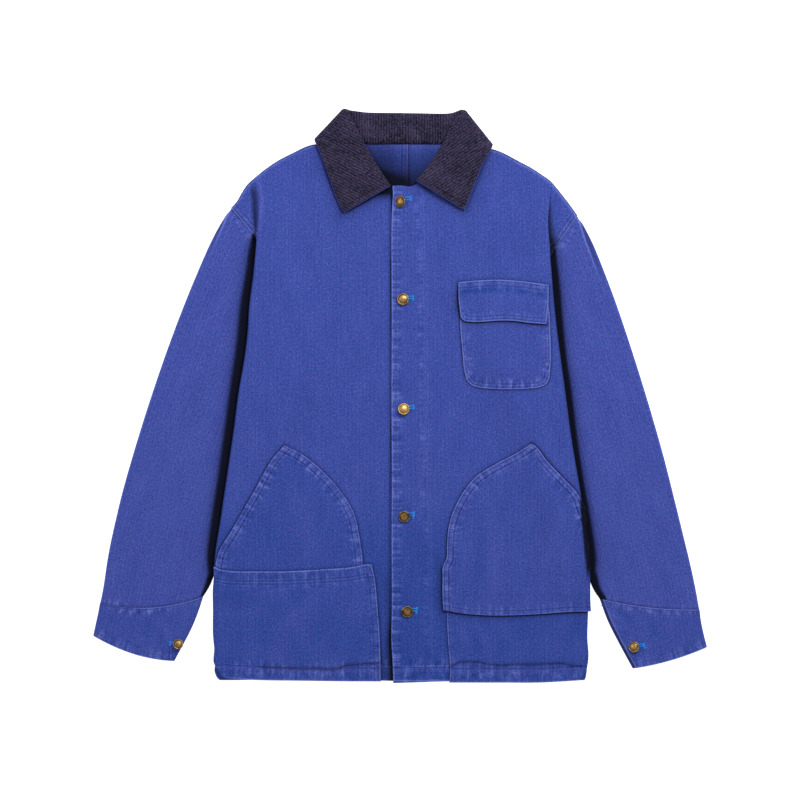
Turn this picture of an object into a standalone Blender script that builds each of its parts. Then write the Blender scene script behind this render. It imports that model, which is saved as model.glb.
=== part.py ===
"""Chore jacket of cotton twill with a corduroy collar, laid flat on its back.

X runs to the wearer's left, Y up to the collar, Z off the table. The tables are in
millimetres and the finished meshes in metres. Every cloth piece is an open surface,
worked out row by row on its outer face, and Solidify gives it its wall towards the inside.
"""
import bmesh
import bpy
import numpy as np

MM = 0.001

# Cloth walls and clearances
TWILL = 1.2
CORDUROY = 1.5
UNDER_TWILL = 1.0
SEAM_GAP = 0.35
LAYER = TWILL + SEAM_GAP

# The body's levels: the front's outer face, its slope up to the side fold, its step over
# the underlap, and its rise round the neck points
HEM_Y = -397.0
BACK_NECK_Y = 353.0
BASE_HEIGHT = 4.2
SLOPE_MARGIN = 6.0
SLOPE_WIDTH = 48.0
OVERLAP_RISE = 2.4
FACING_START_X = 29.0
FACING_END_X = 47.0
NECK_RISE = 1.8
NECK_RISE_REACH = 62.0

# The back's centre seam and its lift over the collar's fall
CENTRE_BACK_TOP_X = 12.0
NECK_LIFT = 4.0
LIFT_START_Y = 300.0
LIFT_LENGTH = 38.0
LIFT_CENTRE_X = 6.0
LIFT_HALF_WIDTH = 112.0
LIFT_FADE = 50.0
LIFT_SHARE = 0.75

# Sleeves, armholes and side seams. ARMHOLE_START is the share of a front's height where
# its side leaves the fold for the armhole, and UNDERARM_Y the back panels' underarm corner.
SLEEVE_HEIGHT = 6.0
SLEEVE_FADE = 8.0
ARMHOLE_GAP = 1.3
ARMHOLE_WIDENING = 1.2
ARMHOLE_START = 0.80
UNDERARM_Y = 60.0
SHOULDER_CURL = 5.0
SEAM_LAP = 2.5
SEAM_DROP = 9.0

# Collar: the column where the fall starts, its arch, and the spread of its level fold
FALL_START = 9
FALL_ARCH = 1.2
FOLD_SPREAD = 4.5
UNDER_DEPTH = CORDUROY + SEAM_GAP + 0.1

# Buttons
BUTTON_RADIUS = 8.2
BUTTON_HEIGHT = 4.0
CUFF_BUTTON_RADIUS = 7.4

TWILL_BLUE = (0.052, 0.085, 0.36, 1.0)
CORDUROY_NAVY = (0.034, 0.029, 0.062, 1.0)
ANTIQUE_BRASS = (0.30, 0.19, 0.075, 1.0)


def table(names, *rows):
    """A table as a dictionary of named columns."""
    return dict(zip(names, np.array(rows, dtype=float).T))


# The side fold of the body, from hem to shoulder. right and left are the fold's x on each
# side, seam_right and seam_left where the turned-under cloth ends, crest the height of the
# front along the fold, under the height of the turned-under layer's lower face, and drop is
# 1 where that layer comes down to meet the back panel and 0 where it stays on the sleeve.
SIDE = table(
    ("y", "right", "left", "seam_right", "seam_left", "crest", "under", "drop"),
    (-397, -248.0, 256.0, -238.0, 246.0, 6.0, 0.0, 1),
    (-388, -256.0, 260.0, -244.0, 249.0, 6.2, 0.0, 1),
    (-345, -261.0, 262.0, -249.0, 250.0, 6.6, 0.0, 1),
    (-300, -261.0, 262.5, -248.5, 250.0, 7.6, 0.0, 1),
    (-275, -260.5, 263.0, -247.0, 249.0, 11.0, 6.4, 1),
    (-239, -260.0, 262.0, -240.0, 242.0, 11.8, 6.4, 1),
    (-163, -250.0, 256.5, -218.0, 222.0, 11.8, 6.4, 1),
    (-54, -234.0, 239.5, -182.0, 187.0, 11.8, 6.4, 1),
    (13, -225.0, 230.5, -158.0, 163.0, 11.8, 6.4, 1),
    (50, -218.5, 225.5, -144.0, 149.0, 11.8, 6.4, 1),
    (60, -217.0, 224.0, -141.0, 147.0, 11.8, 6.4, 0),
    (84, -214.0, 221.0, -144.0, 151.0, 11.8, 6.4, 0),
    (128, -211.0, 216.0, -155.0, 171.0, 11.8, 6.4, 0),
    (175, -205.0, 212.0, -174.0, 202.0, 11.8, 6.4, 0),
    (205, -202.0, 209.5, -192.0, 214.0, 11.6, 6.4, 0),
    (254, -197.0, 207.5, -216.0, 240.0, 9.6, 6.0, 0),
    (280, -196.0, 211.0, -230.0, 250.0, 7.6, 6.0, 0),
    (307, -202.0, 214.0, -240.0, 255.0, 6.4, 6.0, 0),
    (360, -214.0, 224.0, -250.0, 260.0, 6.0, 6.0, 0),
)

# Rings of each sleeve from the armhole to the cuff seam: the ends of the ring at the outer
# and inner folds, and how far its middle bows off the straight line between them.
RINGS = ("outer_x", "outer_y", "inner_x", "inner_y", "bow_x", "bow_y")
SLEEVE_RIGHT = table(
    RINGS,
    (-238.5, 263, -149, 82, 18, 4),
    (-256.0, 233, -156, 58, 14, 2),
    (-274.0, 195, -163, 38, 9, 1),
    (-300.0, 135, -174, 8, 4, 0),
    (-326.0, 68, -182, -20, 1, 0),
    (-350.0, -4, -198, -66, 0, 0),
    (-371.0, -71, -214, -119, 0, 0),
    (-389.0, -134, -230, -168, 0, 0),
    (-403.0, -193, -246, -212, 0, -1),
    (-410.0, -229, -256, -238, 0, -3),
    (-415.5, -266, -266, -264, 0, -7),
    (-420.0, -290, -276, -281, 0, -11),
)
SLEEVE_LEFT = table(
    RINGS,
    (250.5, 251, 155, 80, -9, 0),
    (267.0, 219, 162, 56, -8, 0),
    (283.0, 182, 168, 36, -5, 0),
    (303.0, 129, 176, 6, -2, 0),
    (326.0, 62, 187, -22, 0, 0),
    (349.0, -12, 202, -68, 0, 0),
    (369.0, -82, 218, -121, 0, 0),
    (385.0, -145, 234, -170, 0, 0),
    (398.0, -198, 249, -214, 0, -1),
    (406.0, -231, 259, -240, 0, -2),
    (414.0, -268, 270, -268, 0, -4),
    (419.5, -299, 280, -284, 0, -5),
)
CUFF_RIGHT = table(
    RINGS,
    (-420.2, -290.8, -276.3, -281.8, 0, -11),
    (-423.0, -303, -283, -300, 0, -12),
    (-426.5, -319, -294, -327, 0, -10),
    (-430.0, -335, -316, -370, 0, -8),
)
CUFF_LEFT = table(
    RINGS,
    (419.7, -299.8, 280.3, -284.8, 0, -5),
    (423.0, -315, 290, -314, 0, -6),
    (427.0, -334, 305, -344, 0, -5),
    (430.5, -351, 326, -380, 0, -4),
)

# Shoulder, from the neck to the sleeve head, and neckline, from the neck to the front edge
SHOULDER_RIGHT = ((-82, 370), (-98, 361), (-112, 352.5), (-126, 350), (-172, 330), (-202, 308),
                  (-216, 295), (-229, 273), (-238, 263))
SHOULDER_LEFT = ((94, 367), (109, 357), (122, 347), (138, 343.5), (168, 329), (197, 312),
                 (213, 299), (229, 279), (250, 251))
NECKLINE_RIGHT = ((22, 293), (-8, 293), (-29, 303), (-45, 321), (-66, 346), (-82, 370))
NECKLINE_LEFT = ((-12, 295), (16, 294), (34, 305), (56, 323), (77, 346), (94, 367))
BACK_NECK_RIGHT = ((-82, 370), (-66, 361), (-49, 353.5), (-20, 353), (11.6, 353))
BACK_NECK_LEFT = ((94, 367), (76, 360), (60, 353.5), (36, 353), (12.4, 353))

# Sections of the collar from the wearer's right front end round the back of the neck.
# Each row gives the neck seam, the roll line and the outer edge with its place, the heights
# of the corduroy's face at the neck, on the stand, on the fall and at the outer edge, and
# flat, which is 1 where the whole band is folded and its roll turns level instead of upright.
COLLAR = table(
    ("neck_x", "neck_y", "roll_x", "roll_y", "edge_x", "edge_y",
     "neck_z", "stand_z", "fall_z", "edge_z", "flat"),
    (-22, 299.5, -13, 296, -77, 258, 5.6, 5.8, 11.2, 7.9, 0),
    (-32, 307, -21, 307, -83, 267, 5.6, 5.8, 11.6, 8.0, 0),
    (-47, 324, -34, 327, -90, 282, 6.0, 6.2, 12.2, 8.4, 0),
    (-65, 346, -50, 355, -97, 303, 8.2, 8.4, 14.0, 9.2, 0),
    (-77, 361, -60, 373, -106, 327, 9.8, 9.9, 15.4, 10.6, 0),
    (-82, 368, -69, 392, -115, 349, 10.2, 10.2, 15.4, 11.6, 0),
    (-85, 371, -73, 398.5, -118.5, 356, 9.8, 9.8, 13.0, 10.0, 0.6),
    (-86, 373, -75, 401.5, -119.5, 359.5, 8.9, 8.9, 7.5, 6.0, 1),
    (-85, 374, -73, 402, -116, 361.5, 8.0, 8.2, 2.4, 2.0, 0.6),
    (-81, 372, -69, 401, -110, 359.5, 7.4, 7.8, 0.0, 0.0, 0),
    (-71, 365, -58, 399.5, -94, 352, 7.2, 7.8, 0.0, 0.0, 0),
    (-49, 354, -43, 398, -62, 347, 7.1, 7.8, 0.0, 0.0, 0),
    (-8, 353.5, -8, 397.5, -8, 346, 7.1, 7.8, 0.0, 0.0, 0),
    (30, 353.5, 28, 397, 36, 346, 7.1, 7.8, 0.0, 0.0, 0),
    (60, 354, 54, 396.5, 74, 346, 7.1, 7.8, 0.0, 0.0, 0),
    (83, 363, 70, 397, 104, 349, 7.2, 7.8, 0.0, 0.0, 0),
    (93, 369, 80, 400, 119, 353, 7.4, 7.8, 0.0, 0.0, 0),
    (97, 371.5, 84.5, 401.5, 126, 354.5, 8.0, 8.1, 2.4, 2.0, 0.6),
    (98, 370, 87, 399.5, 129.5, 352.5, 8.9, 8.9, 7.5, 6.0, 1),
    (97, 368, 85, 396.5, 128.5, 349, 9.8, 9.8, 13.0, 10.0, 0.6),
    (94, 365, 81, 390, 125, 342, 10.2, 10.2, 15.4, 11.6, 0),
    (88, 358, 72, 374, 114, 323, 9.8, 9.9, 15.4, 10.6, 0),
    (77, 345, 62, 354, 105, 300, 9.2, 9.4, 14.6, 9.4, 0),
    (58, 326, 46, 330, 98, 282, 7.0, 7.2, 13.0, 8.6, 0),
    (43, 311, 32, 313, 92, 268, 7.4, 7.5, 13.0, 8.4, 0),
    (32, 304.5, 22, 302, 86, 258, 7.4, 7.5, 13.0, 8.2, 0),
)

# Pocket outlines, counterclockwise; each is cut out of the front that carries it
HIP_UPPER_RIGHT = ((-255, -256), (-50, -256), (-52, -233), (-57, -195), (-64, -165),
                   (-83, -133), (-108, -105), (-136, -82), (-158, -70), (-163, -69),
                   (-174, -82), (-253, -219), (-255, -236))
HIP_UPPER_LEFT = ((60, -300), (111, -306), (193, -306), (258, -302), (258.5, -240),
                  (256, -160), (249, -138), (190, -71), (185, -66), (180, -67), (138, -92),
                  (105, -114), (83, -143), (69, -176), (64, -220), (61, -262))
HIP_LOWER_RIGHT = ((-246, -396), (-27, -396), (-28, -349), (-32, -290), (-38, -239),
                   (-258, -243), (-259, -385))
HIP_LOWER_LEFT = ((70, -396), (252, -396), (260, -385), (258, -286), (66, -286))
CHEST_POCKET = ((110, 12), (157, 10), (203, 15), (210, 27), (210, 83), (208, 144),
                (83, 144), (84, 105), (88, 38), (91, 24), (98, 16))
CHEST_FLAP = ((85, 108), (204, 101), (207, 156), (141, 163), (81, 160))

FRONT_BUTTONS = ((1, 273), (4, 136), (5, -18), (6, -168), (10, -301))
CUFF_BUTTON_RIGHT = (-311, -347)
CUFF_BUTTON_LEFT = (328, -351)


def ease(t):
    """0 to 1 along an S curve, held flat outside."""
    t = np.clip(t, 0.0, 1.0)
    return t * t * (3.0 - 2.0 * t)


def read(rows, column, at, key="y"):
    """A column of a table between its rows, on a cubic through the neighbouring rows."""
    known, value = rows[key], rows[column]
    slope = np.gradient(value, known)
    at = np.clip(at, known[0], known[-1])
    start = np.clip(np.searchsorted(known, at) - 1, 0, len(known) - 2)
    step = known[start + 1] - known[start]
    t = (at - known[start]) / step
    rise = value[start + 1] - value[start]
    bend = slope[start] * step - rise
    return value[start] + t * rise + t * (1 - t) * (
        (1 - t) * bend - t * (slope[start + 1] * step - rise))


def along(points, shares):
    """Places on a smooth line through the points, at shares 0 to 1 of its length."""
    points = np.array(points, dtype=float)
    reach = np.insert(np.cumsum(np.linalg.norm(np.diff(points, axis=0), axis=1)), 0, 0)
    line = {"s": reach / reach[-1], "x": points[:, 0], "y": points[:, 1]}
    return np.stack([read(line, axis, shares, "s") for axis in "xy"], axis=-1)


def fill(bottom, top, start, end, u, v):
    """A Coons patch: the plan of a panel worked out from its four edges."""
    u, v = u[None, :, None], v[:, None, None]
    across = (1 - v) * bottom[None] + v * top[None]
    upward = (1 - u) * start[:, None] + u * end[:, None]
    corners = ((1 - v) * ((1 - u) * start[0] + u * end[0])
               + v * ((1 - u) * start[-1] + u * end[-1]))
    return across + upward - corners


def ring_line(rings, row, shares):
    """The plan of one sleeve ring from its outer fold to its inner fold."""
    outer = np.array([rings["outer_x"][row], rings["outer_y"][row]])
    inner = np.array([rings["inner_x"][row], rings["inner_y"][row]])
    bow = np.array([rings["bow_x"][row], rings["bow_y"][row]])
    shares = np.asarray(shares, dtype=float)[:, None]
    return outer + shares * (inner - outer) + 4 * shares * (1 - shares) * bow


def inside_fold(x, y, side):
    """Distance of a place inside the body's side fold; negative beyond it."""
    return side * (read(SIDE, "left" if side > 0 else "right", y) - x)


def front_height(x, y, side):
    """Height of a front's outer face: flat, rising over the sleeve, the underlap and the neck."""
    depth = inside_fold(x, y, side)
    fold = read(SIDE, "left" if side > 0 else "right", y)
    seam = read(SIDE, "seam_left" if side > 0 else "seam_right", y)
    tuck = np.maximum(side * (fold - seam), 0.0)
    crest = np.interp(y, SIDE["y"], SIDE["crest"])
    slope = 1 - ease((depth - tuck - SLOPE_MARGIN) / SLOPE_WIDTH)
    height = BASE_HEIGHT + (crest - BASE_HEIGHT) * slope
    beyond = SLEEVE_HEIGHT + (crest - SLEEVE_HEIGHT) * (1 - ease(-depth / SLEEVE_FADE))
    height = np.where(depth < 0, beyond, height)
    neck_x, neck_y = SHOULDER_LEFT[0] if side > 0 else SHOULDER_RIGHT[0]
    neck_reach = np.hypot(x - neck_x, y - neck_y) / NECK_RISE_REACH
    height = height + NECK_RISE * (1 - ease(neck_reach)) + LIFT_SHARE * back_height(x, y)
    if side > 0:
        facing = 1 - ease((x - FACING_START_X) / (FACING_END_X - FACING_START_X))
        height = height + OVERLAP_RISE * facing
    return height


def back_height(x, y):
    """Height of the back's outer face: on the table, lifted where the collar lies under it."""
    beside = (np.abs(x - LIFT_CENTRE_X) - LIFT_HALF_WIDTH) / LIFT_FADE
    return NECK_LIFT * ease((y - LIFT_START_Y) / LIFT_LENGTH) * (1 - ease(beside))


def material(name, colour, roughness, metallic):
    """A Principled material."""
    made = bpy.data.materials.new(name)
    made.use_nodes = True
    shader = made.node_tree.nodes["Principled BSDF"]
    shader.inputs["Base Color"].default_value = colour
    shader.inputs["Roughness"].default_value = roughness
    shader.inputs["Metallic"].default_value = metallic
    return made


def grid_faces(rows, columns, closed=False):
    """Quads of a grid of points; a closed grid joins its last column to its first."""
    index = np.arange(rows * columns).reshape(rows, columns)
    if closed:
        index = np.hstack([index, index[:, :1]])
    corners = (index[:-1, :-1], index[:-1, 1:], index[1:, 1:], index[1:, :-1])
    return np.stack(corners, axis=-1).reshape(-1, 4)


def add_wall(name, mesh, wall, even):
    """An object of the mesh whose open surface gets its wall from Solidify."""
    piece = bpy.data.objects.new(name, mesh)
    jacket.objects.link(piece)
    thick = piece.modifiers.new("wall", "SOLIDIFY")
    thick.thickness = wall * MM
    thick.offset = -1.0
    thick.use_even_offset = even


def split(quads):
    """Each quad as two triangles on the same diagonal."""
    return np.vstack([quads[:, (0, 1, 2)], quads[:, (0, 2, 3)]])


def cloth(name, points, faces, wall, finish, flip=False, even=True):
    """A cloth piece on a grid of points of its outer face."""
    mesh = bpy.data.meshes.new(name)
    order = faces[:, ::-1] if flip else faces
    mesh.from_pydata((points.reshape(-1, 3) * MM).tolist(), [], order.tolist())
    mesh.materials.append(finish)
    mesh.shade_smooth()
    add_wall(name, mesh, wall, even)


def lift_plan(plan, height):
    """Points of a plan set at their heights."""
    return np.concatenate([plan, height[..., None]], axis=-1)


def armhole(side, shares):
    """The armhole seam from the side fold out to the shoulder, a gap inside the sleeve."""
    rings = SLEEVE_LEFT if side > 0 else SLEEVE_RIGHT
    line = ring_line(rings, 0, shares)
    widening = ARMHOLE_WIDENING * np.exp(-15 * np.asarray(shares, dtype=float))
    return line + (ARMHOLE_GAP * (1 + widening))[:, None] * np.array([-side, 0.0])


def fold_radius(y):
    """Outer radius of the body's side fold."""
    return (np.interp(y, SIDE["y"], SIDE["crest"]) - np.interp(y, SIDE["y"], SIDE["under"])) / 2


def front_edges(side, u, v):
    """The four edges of a front in plan: hem, shoulder, centre edge and side."""
    low = v[v <= ARMHOLE_START] / ARMHOLE_START
    high = (v[v > ARMHOLE_START] - ARMHOLE_START) / (1 - ARMHOLE_START)
    neckline = NECKLINE_LEFT if side > 0 else NECKLINE_RIGHT
    shoulder = SHOULDER_LEFT if side > 0 else SHOULDER_RIGHT
    edge_x, edge_y = neckline[0]
    centre = np.stack([np.full(low.size, float(edge_x)),
                       HEM_Y - 1 + low * (edge_y - HEM_Y + 1)], axis=-1)
    centre = np.vstack([centre, along(neckline, high)])
    leave = 0.33 if side > 0 else 0.26
    leave_y = armhole(side, [leave])[0, 1]
    side_y = HEM_Y + low * (leave_y - HEM_Y)
    fold_x = read(SIDE, "left" if side > 0 else "right", side_y) - side * fold_radius(side_y)
    outer = np.stack([fold_x, side_y], axis=-1)
    outer = np.vstack([outer, armhole(side, leave * (1 - high))])
    top = along(shoulder, u)
    top[-1] = outer[-1]
    top[0] = centre[-1]
    hem = np.linspace(centre[0], outer[0], 2)
    return along(hem, u), top, centre, outer


def front_face(side, u):
    """The outer face of a front, curled down to the back at the shoulder."""
    v = np.concatenate([np.linspace(0, ARMHOLE_START, 21), (0.84, 0.88, 0.92, 0.96),
                        (0.98, 0.992, 1.0)])
    bottom, top, centre, outer = front_edges(side, u, v)
    plan = fill(bottom, top, centre, outer, u, v)
    height = front_height(plan[..., 0], plan[..., 1], side)
    from_top = np.linalg.norm(plan - plan[-1:], axis=-1)
    seam_height = back_height(plan[..., 0], plan[..., 1]) + TWILL + LAYER + SEAM_GAP
    curl = np.sqrt(1 - (1 - np.clip(from_top / SHOULDER_CURL, 0, 1)) ** 2)
    rows = int((v < ARMHOLE_START - 0.03).sum())
    return lift_plan(plan, seam_height + (height - seam_height) * curl), rows


def turned_strip(edge, side):
    """The cloth turned under at the side: round the fold, then in to the side seam."""
    y = edge[:, 1]
    under = np.interp(y, SIDE["y"], SIDE["under"])[:, None]
    radius = (edge[:, 2:3] - under) / 2
    turn = np.radians((50, 10, -30, -90))
    around = np.stack([edge[:, :1] + side * radius * np.cos(turn),
                       np.repeat(edge[:, 1:2], turn.size, axis=1),
                       edge[:, 2:3] - radius + radius * np.sin(turn)], axis=-1)
    seam = read(SIDE, "seam_left" if side > 0 else "seam_right", y) - side * SEAM_LAP
    reach = np.array((0.3, 0.6, 0.78, 0.9, 1.0))
    inner_x = edge[:, :1] + reach * (seam[:, None] - edge[:, :1])
    to_seam = np.abs(inner_x - seam[:, None])
    drop = np.interp(y, SIDE["y"], SIDE["drop"])[:, None]
    come_down = drop * (1 - ease((to_seam - SEAM_LAP) / SEAM_DROP))
    under_z = under + come_down * (LAYER - under)
    strip = np.stack([inner_x, np.repeat(edge[:, 1:2], reach.size, axis=1), under_z], axis=-1)
    return np.concatenate([around, strip], axis=1)


def front_panel(name, side, face, rows, finish):
    """A front: its face, and along the body's side the strip turned under."""
    turned = turned_strip(face[:rows, -1], side)
    columns = face.shape[1]
    index = face[..., 0].size + np.arange(turned[..., 0].size).reshape(rows, -1)
    join = np.hstack([np.arange(rows)[:, None] * columns + columns - 1, index])
    extra = np.stack([join[:-1, :-1], join[:-1, 1:], join[1:, 1:], join[1:, :-1]], axis=-1)
    faces = split(np.vstack([grid_faces(face.shape[0], columns), extra.reshape(-1, 4)]))
    points = np.vstack([face.reshape(-1, 3), turned.reshape(-1, 3)])
    cloth(name, points, faces, TWILL, finish, flip=side < 0)


def back_panel(name, side, finish):
    """A back panel from the centre-back seam to the side seam, armhole and shoulder."""
    v = np.concatenate([np.linspace(0, 0.62, 15), np.linspace(0.62, 1.0, 13)[1:]])
    u = np.linspace(0, 1, 9)
    low, high = v[v <= 0.62] / 0.62, (v[v > 0.62] - 0.62) / 0.38
    gap = side * SEAM_GAP / 2
    centre = np.stack([gap * 2 + CENTRE_BACK_TOP_X * v,
                       HEM_Y + v * (BACK_NECK_Y - HEM_Y)], axis=-1)
    side_y = HEM_Y + low * (UNDERARM_Y - HEM_Y)
    seam = read(SIDE, "seam_left" if side > 0 else "seam_right", side_y) - side * SEAM_GAP
    outer = np.vstack([np.stack([seam, side_y], axis=-1),
                       armhole(side, np.linspace(0.97, 0.0, high.size))])
    shoulder = SHOULDER_LEFT if side > 0 else SHOULDER_RIGHT
    neck = BACK_NECK_LEFT if side > 0 else BACK_NECK_RIGHT
    neck_share = 0.32
    over = np.vstack([along(neck[::-1], u[u < neck_share] / neck_share),
                      along(shoulder, (u[u >= neck_share] - neck_share) / (1 - neck_share))])
    over[0], over[-1] = centre[-1], outer[-1]
    hem = np.linspace(centre[0], outer[0], 2)
    plan = fill(along(hem, u), over, centre, outer, u, v)
    points = lift_plan(plan, back_height(plan[..., 0], plan[..., 1]))
    cloth(name, points, grid_faces(v.size, u.size), TWILL, finish, flip=side > 0)


def tube(name, side, rings, finish):
    """A flattened tube through the rings: two level layers with rounded folds."""
    turn = np.radians((45, 0, -45))
    flat = np.linspace(0, 1, 8)
    radius = SLEEVE_HEIGHT / 2
    loops = []
    for row in range(rings["outer_x"].size):
        ends = ring_line(rings, row, (0, 1))
        width = np.linalg.norm(ends[1] - ends[0])
        across = (ends[1] - ends[0]) / width
        line = ring_line(rings, row, radius / width + flat * (1 - 2 * radius / width))
        top = lift_plan(line, np.full(flat.size, SLEEVE_HEIGHT))
        low = lift_plan(line[::-1], np.zeros(flat.size))
        inner = lift_plan(line[-1] + radius * np.cos(turn)[:, None] * across,
                          radius + radius * np.sin(turn))
        outer = lift_plan(line[0] - radius * np.cos(turn)[:, None] * across,
                          radius - radius * np.sin(turn))
        loops.append(np.vstack([top, inner, low, outer]))
    points = np.array(loops)
    faces = grid_faces(points.shape[0], points.shape[1], closed=True)
    cloth(name, points, faces, TWILL, finish, flip=side < 0, even=False)


def collar_sections():
    """The corduroy's face at each station: neck seam, stand, roll, fall and outer edge."""
    rows = {name: column[:, None] for name, column in COLLAR.items()}
    neck = np.concatenate([rows["neck_x"], rows["neck_y"]], axis=1)
    roll = np.concatenate([rows["roll_x"], rows["roll_y"]], axis=1)
    edge = np.concatenate([rows["edge_x"], rows["edge_y"]], axis=1)
    out = (roll - edge) / np.linalg.norm(roll - edge, axis=1, keepdims=True)
    beside = np.stack([out[:, 1], -out[:, 0]], axis=1)
    beside *= np.sign(np.sum(beside * (neck - edge), axis=1))[:, None]
    radius = np.abs(rows["fall_z"] - rows["stand_z"]) / 2
    middle = (rows["fall_z"] + rows["stand_z"]) / 2
    spread = FOLD_SPREAD * rows["flat"]
    reach = np.maximum(radius, spread)
    rise = np.where(rows["fall_z"] > rows["stand_z"], 1.0, -1.0)
    inset = roll - out * reach
    parts = []
    stand_end = inset + beside * spread
    for share in (0.0, 0.35, 0.7, 1.0):
        place = neck + share * (stand_end - neck)
        height = rows["neck_z"] + ease(share) * (rows["stand_z"] - rows["neck_z"])
        parts.append(np.concatenate([place, height], axis=1))
    for angle in np.radians((-55, -20, 20, 55)):
        place = inset + out * reach * np.cos(angle) - beside * spread * np.sin(angle)
        height = middle + rise * radius * np.sin(angle)
        parts.append(np.concatenate([place, height], axis=1))
    fall_start = inset - beside * spread
    for share in (0.0, 0.2, 0.4, 0.6, 0.8, 1.0):
        place = fall_start + share * (edge - fall_start)
        arch = FALL_ARCH * np.sin(np.pi * share) * (rows["fall_z"] > rows["stand_z"])
        height = rows["fall_z"] + share * (rows["edge_z"] - rows["fall_z"]) + arch
        parts.append(np.concatenate([place, height], axis=1))
    return np.stack(parts, axis=1)


def under_collar(points):
    """The fall's other face: the corduroy's points moved into the fold along its normals."""
    normal = np.cross(np.gradient(points, axis=0), np.gradient(points, axis=1))
    normal /= np.linalg.norm(normal, axis=-1, keepdims=True)
    return (points - UNDER_DEPTH * normal)[:, FALL_START:]


def pocket(name, face, side, outline, layers, finish):
    """A pocket piece: the front's own face, cut along the outline and moved out."""
    piece = bmesh.new()
    corners = [piece.verts.new(point) for point in face.reshape(-1, 3)]
    for corner in split(grid_faces(*face.shape[:2])):
        piece.faces.new([corners[i] for i in (corner[::-1] if side < 0 else corner)])
    for (x0, y0), (x1, y1) in zip(outline, outline[1:] + outline[:1]):
        whole = piece.verts[:] + piece.edges[:] + piece.faces[:]
        bmesh.ops.bisect_plane(piece, geom=whole, plane_co=(x0, y0, 0.0),
                               plane_no=(y1 - y0, x0 - x1, 0.0), clear_outer=True)
    bmesh.ops.remove_doubles(piece, verts=piece.verts[:], dist=0.4)
    mesh = bpy.data.meshes.new(name)
    piece.to_mesh(mesh)
    piece.free()
    for vertex in mesh.vertices:
        vertex.co.z += layers * LAYER
        vertex.co *= MM
    mesh.materials.append(finish)
    mesh.shade_smooth()
    add_wall(name, mesh, TWILL, even=True)


def button(name, place, radius, seat, finish):
    """A turned button on its seat: rolled rim, sunk face with a low boss, flat foot."""
    profile = ((0.0, 0.80), (0.35, 0.76), (0.55, 0.60), (0.72, 0.70), (0.84, 1.0),
               (1.0, 0.70), (0.96, 0.15), (0.80, 0.0), (0.0, 0.0))
    mesh = bpy.data.meshes.new(name)
    points = [(r * radius * MM, 0.0, z * BUTTON_HEIGHT * MM) for r, z in profile]
    mesh.from_pydata(points, [(i, i + 1) for i in range(len(points) - 1)], [])
    mesh.materials.append(finish)
    piece = bpy.data.objects.new(name, mesh)
    jacket.objects.link(piece)
    turned = piece.modifiers.new("turned", "SCREW")
    turned.steps = turned.render_steps = 16
    turned.use_merge_vertices = True
    turned.merge_threshold = 0.00001
    turned.use_smooth_shade = True
    piece.location = (place[0] * MM, place[1] * MM, seat * MM)


for leftover in list(bpy.data.objects):
    bpy.data.objects.remove(leftover, do_unlink=True)
jacket = bpy.data.collections.new("chore_jacket")
bpy.context.scene.collection.children.link(jacket)

twill = material("blue_twill", TWILL_BLUE, 0.85, 0.0)
corduroy = material("navy_corduroy", CORDUROY_NAVY, 0.9, 0.0)
brass = material("antique_brass", ANTIQUE_BRASS, 0.42, 1.0)

back_panel("back_right", -1, twill)
back_panel("back_left", 1, twill)
tube("sleeve_right", -1, SLEEVE_RIGHT, twill)
tube("sleeve_left", 1, SLEEVE_LEFT, twill)
tube("cuff_right", -1, CUFF_RIGHT, twill)
tube("cuff_left", 1, CUFF_LEFT, twill)
facing_columns = np.array((0.0, 0.075, 0.15, 0.175, 0.2, 0.225))
face_right, tucked = front_face(-1, np.linspace(0, 1, 14))
front_panel("front_right", -1, face_right, tucked, twill)
face_left, tucked = front_face(1, np.concatenate([facing_columns, np.linspace(0.31, 1, 9)]))
front_panel("front_left", 1, face_left, tucked, twill)

sections = collar_sections()
cloth("collar_top", sections, grid_faces(*sections.shape[:2]), CORDUROY, corduroy,
      flip=True, even=False)
fall = under_collar(sections)
cloth("collar_under", fall, grid_faces(*fall.shape[:2]), UNDER_TWILL, twill,
      flip=True, even=False)

pocket("hip_pocket_right_upper", face_right, -1, HIP_UPPER_RIGHT, 1, twill)
pocket("hip_pocket_right_lower", face_right, -1, HIP_LOWER_RIGHT, 2, twill)
pocket("hip_pocket_left_lower", face_left, 1, HIP_LOWER_LEFT, 1, twill)
pocket("hip_pocket_left_upper", face_left, 1, HIP_UPPER_LEFT, 2, twill)
pocket("chest_pocket", face_left, 1, CHEST_POCKET, 1, twill)
pocket("chest_pocket_flap", face_left, 1, CHEST_FLAP, 2, twill)

for number, (x, y) in enumerate(FRONT_BUTTONS, start=1):
    seat = float(front_height(np.array(x), np.array(y), 1)) + SEAM_GAP
    button(f"button_front_{number}", (x, y), BUTTON_RADIUS, seat, brass)
cuff_seat = SLEEVE_HEIGHT + SEAM_GAP
button("button_cuff_right", CUFF_BUTTON_RIGHT, CUFF_BUTTON_RADIUS, cuff_seat, brass)
button("button_cuff_left", CUFF_BUTTON_LEFT, CUFF_BUTTON_RADIUS, cuff_seat, brass)
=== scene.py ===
# %% [markdown]
# # A chore jacket, laid flat
#
# A work jacket of royal-blue cotton twill lies on its back with its sleeves spread. Its
# collar is fine navy corduroy, its buttons are antique brass and its buttonholes are worked
# in azure thread. The packed model gives the plain solids; this lesson lays the finished
# cloth over them, piece by piece, in the order a maker would sew them.

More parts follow.
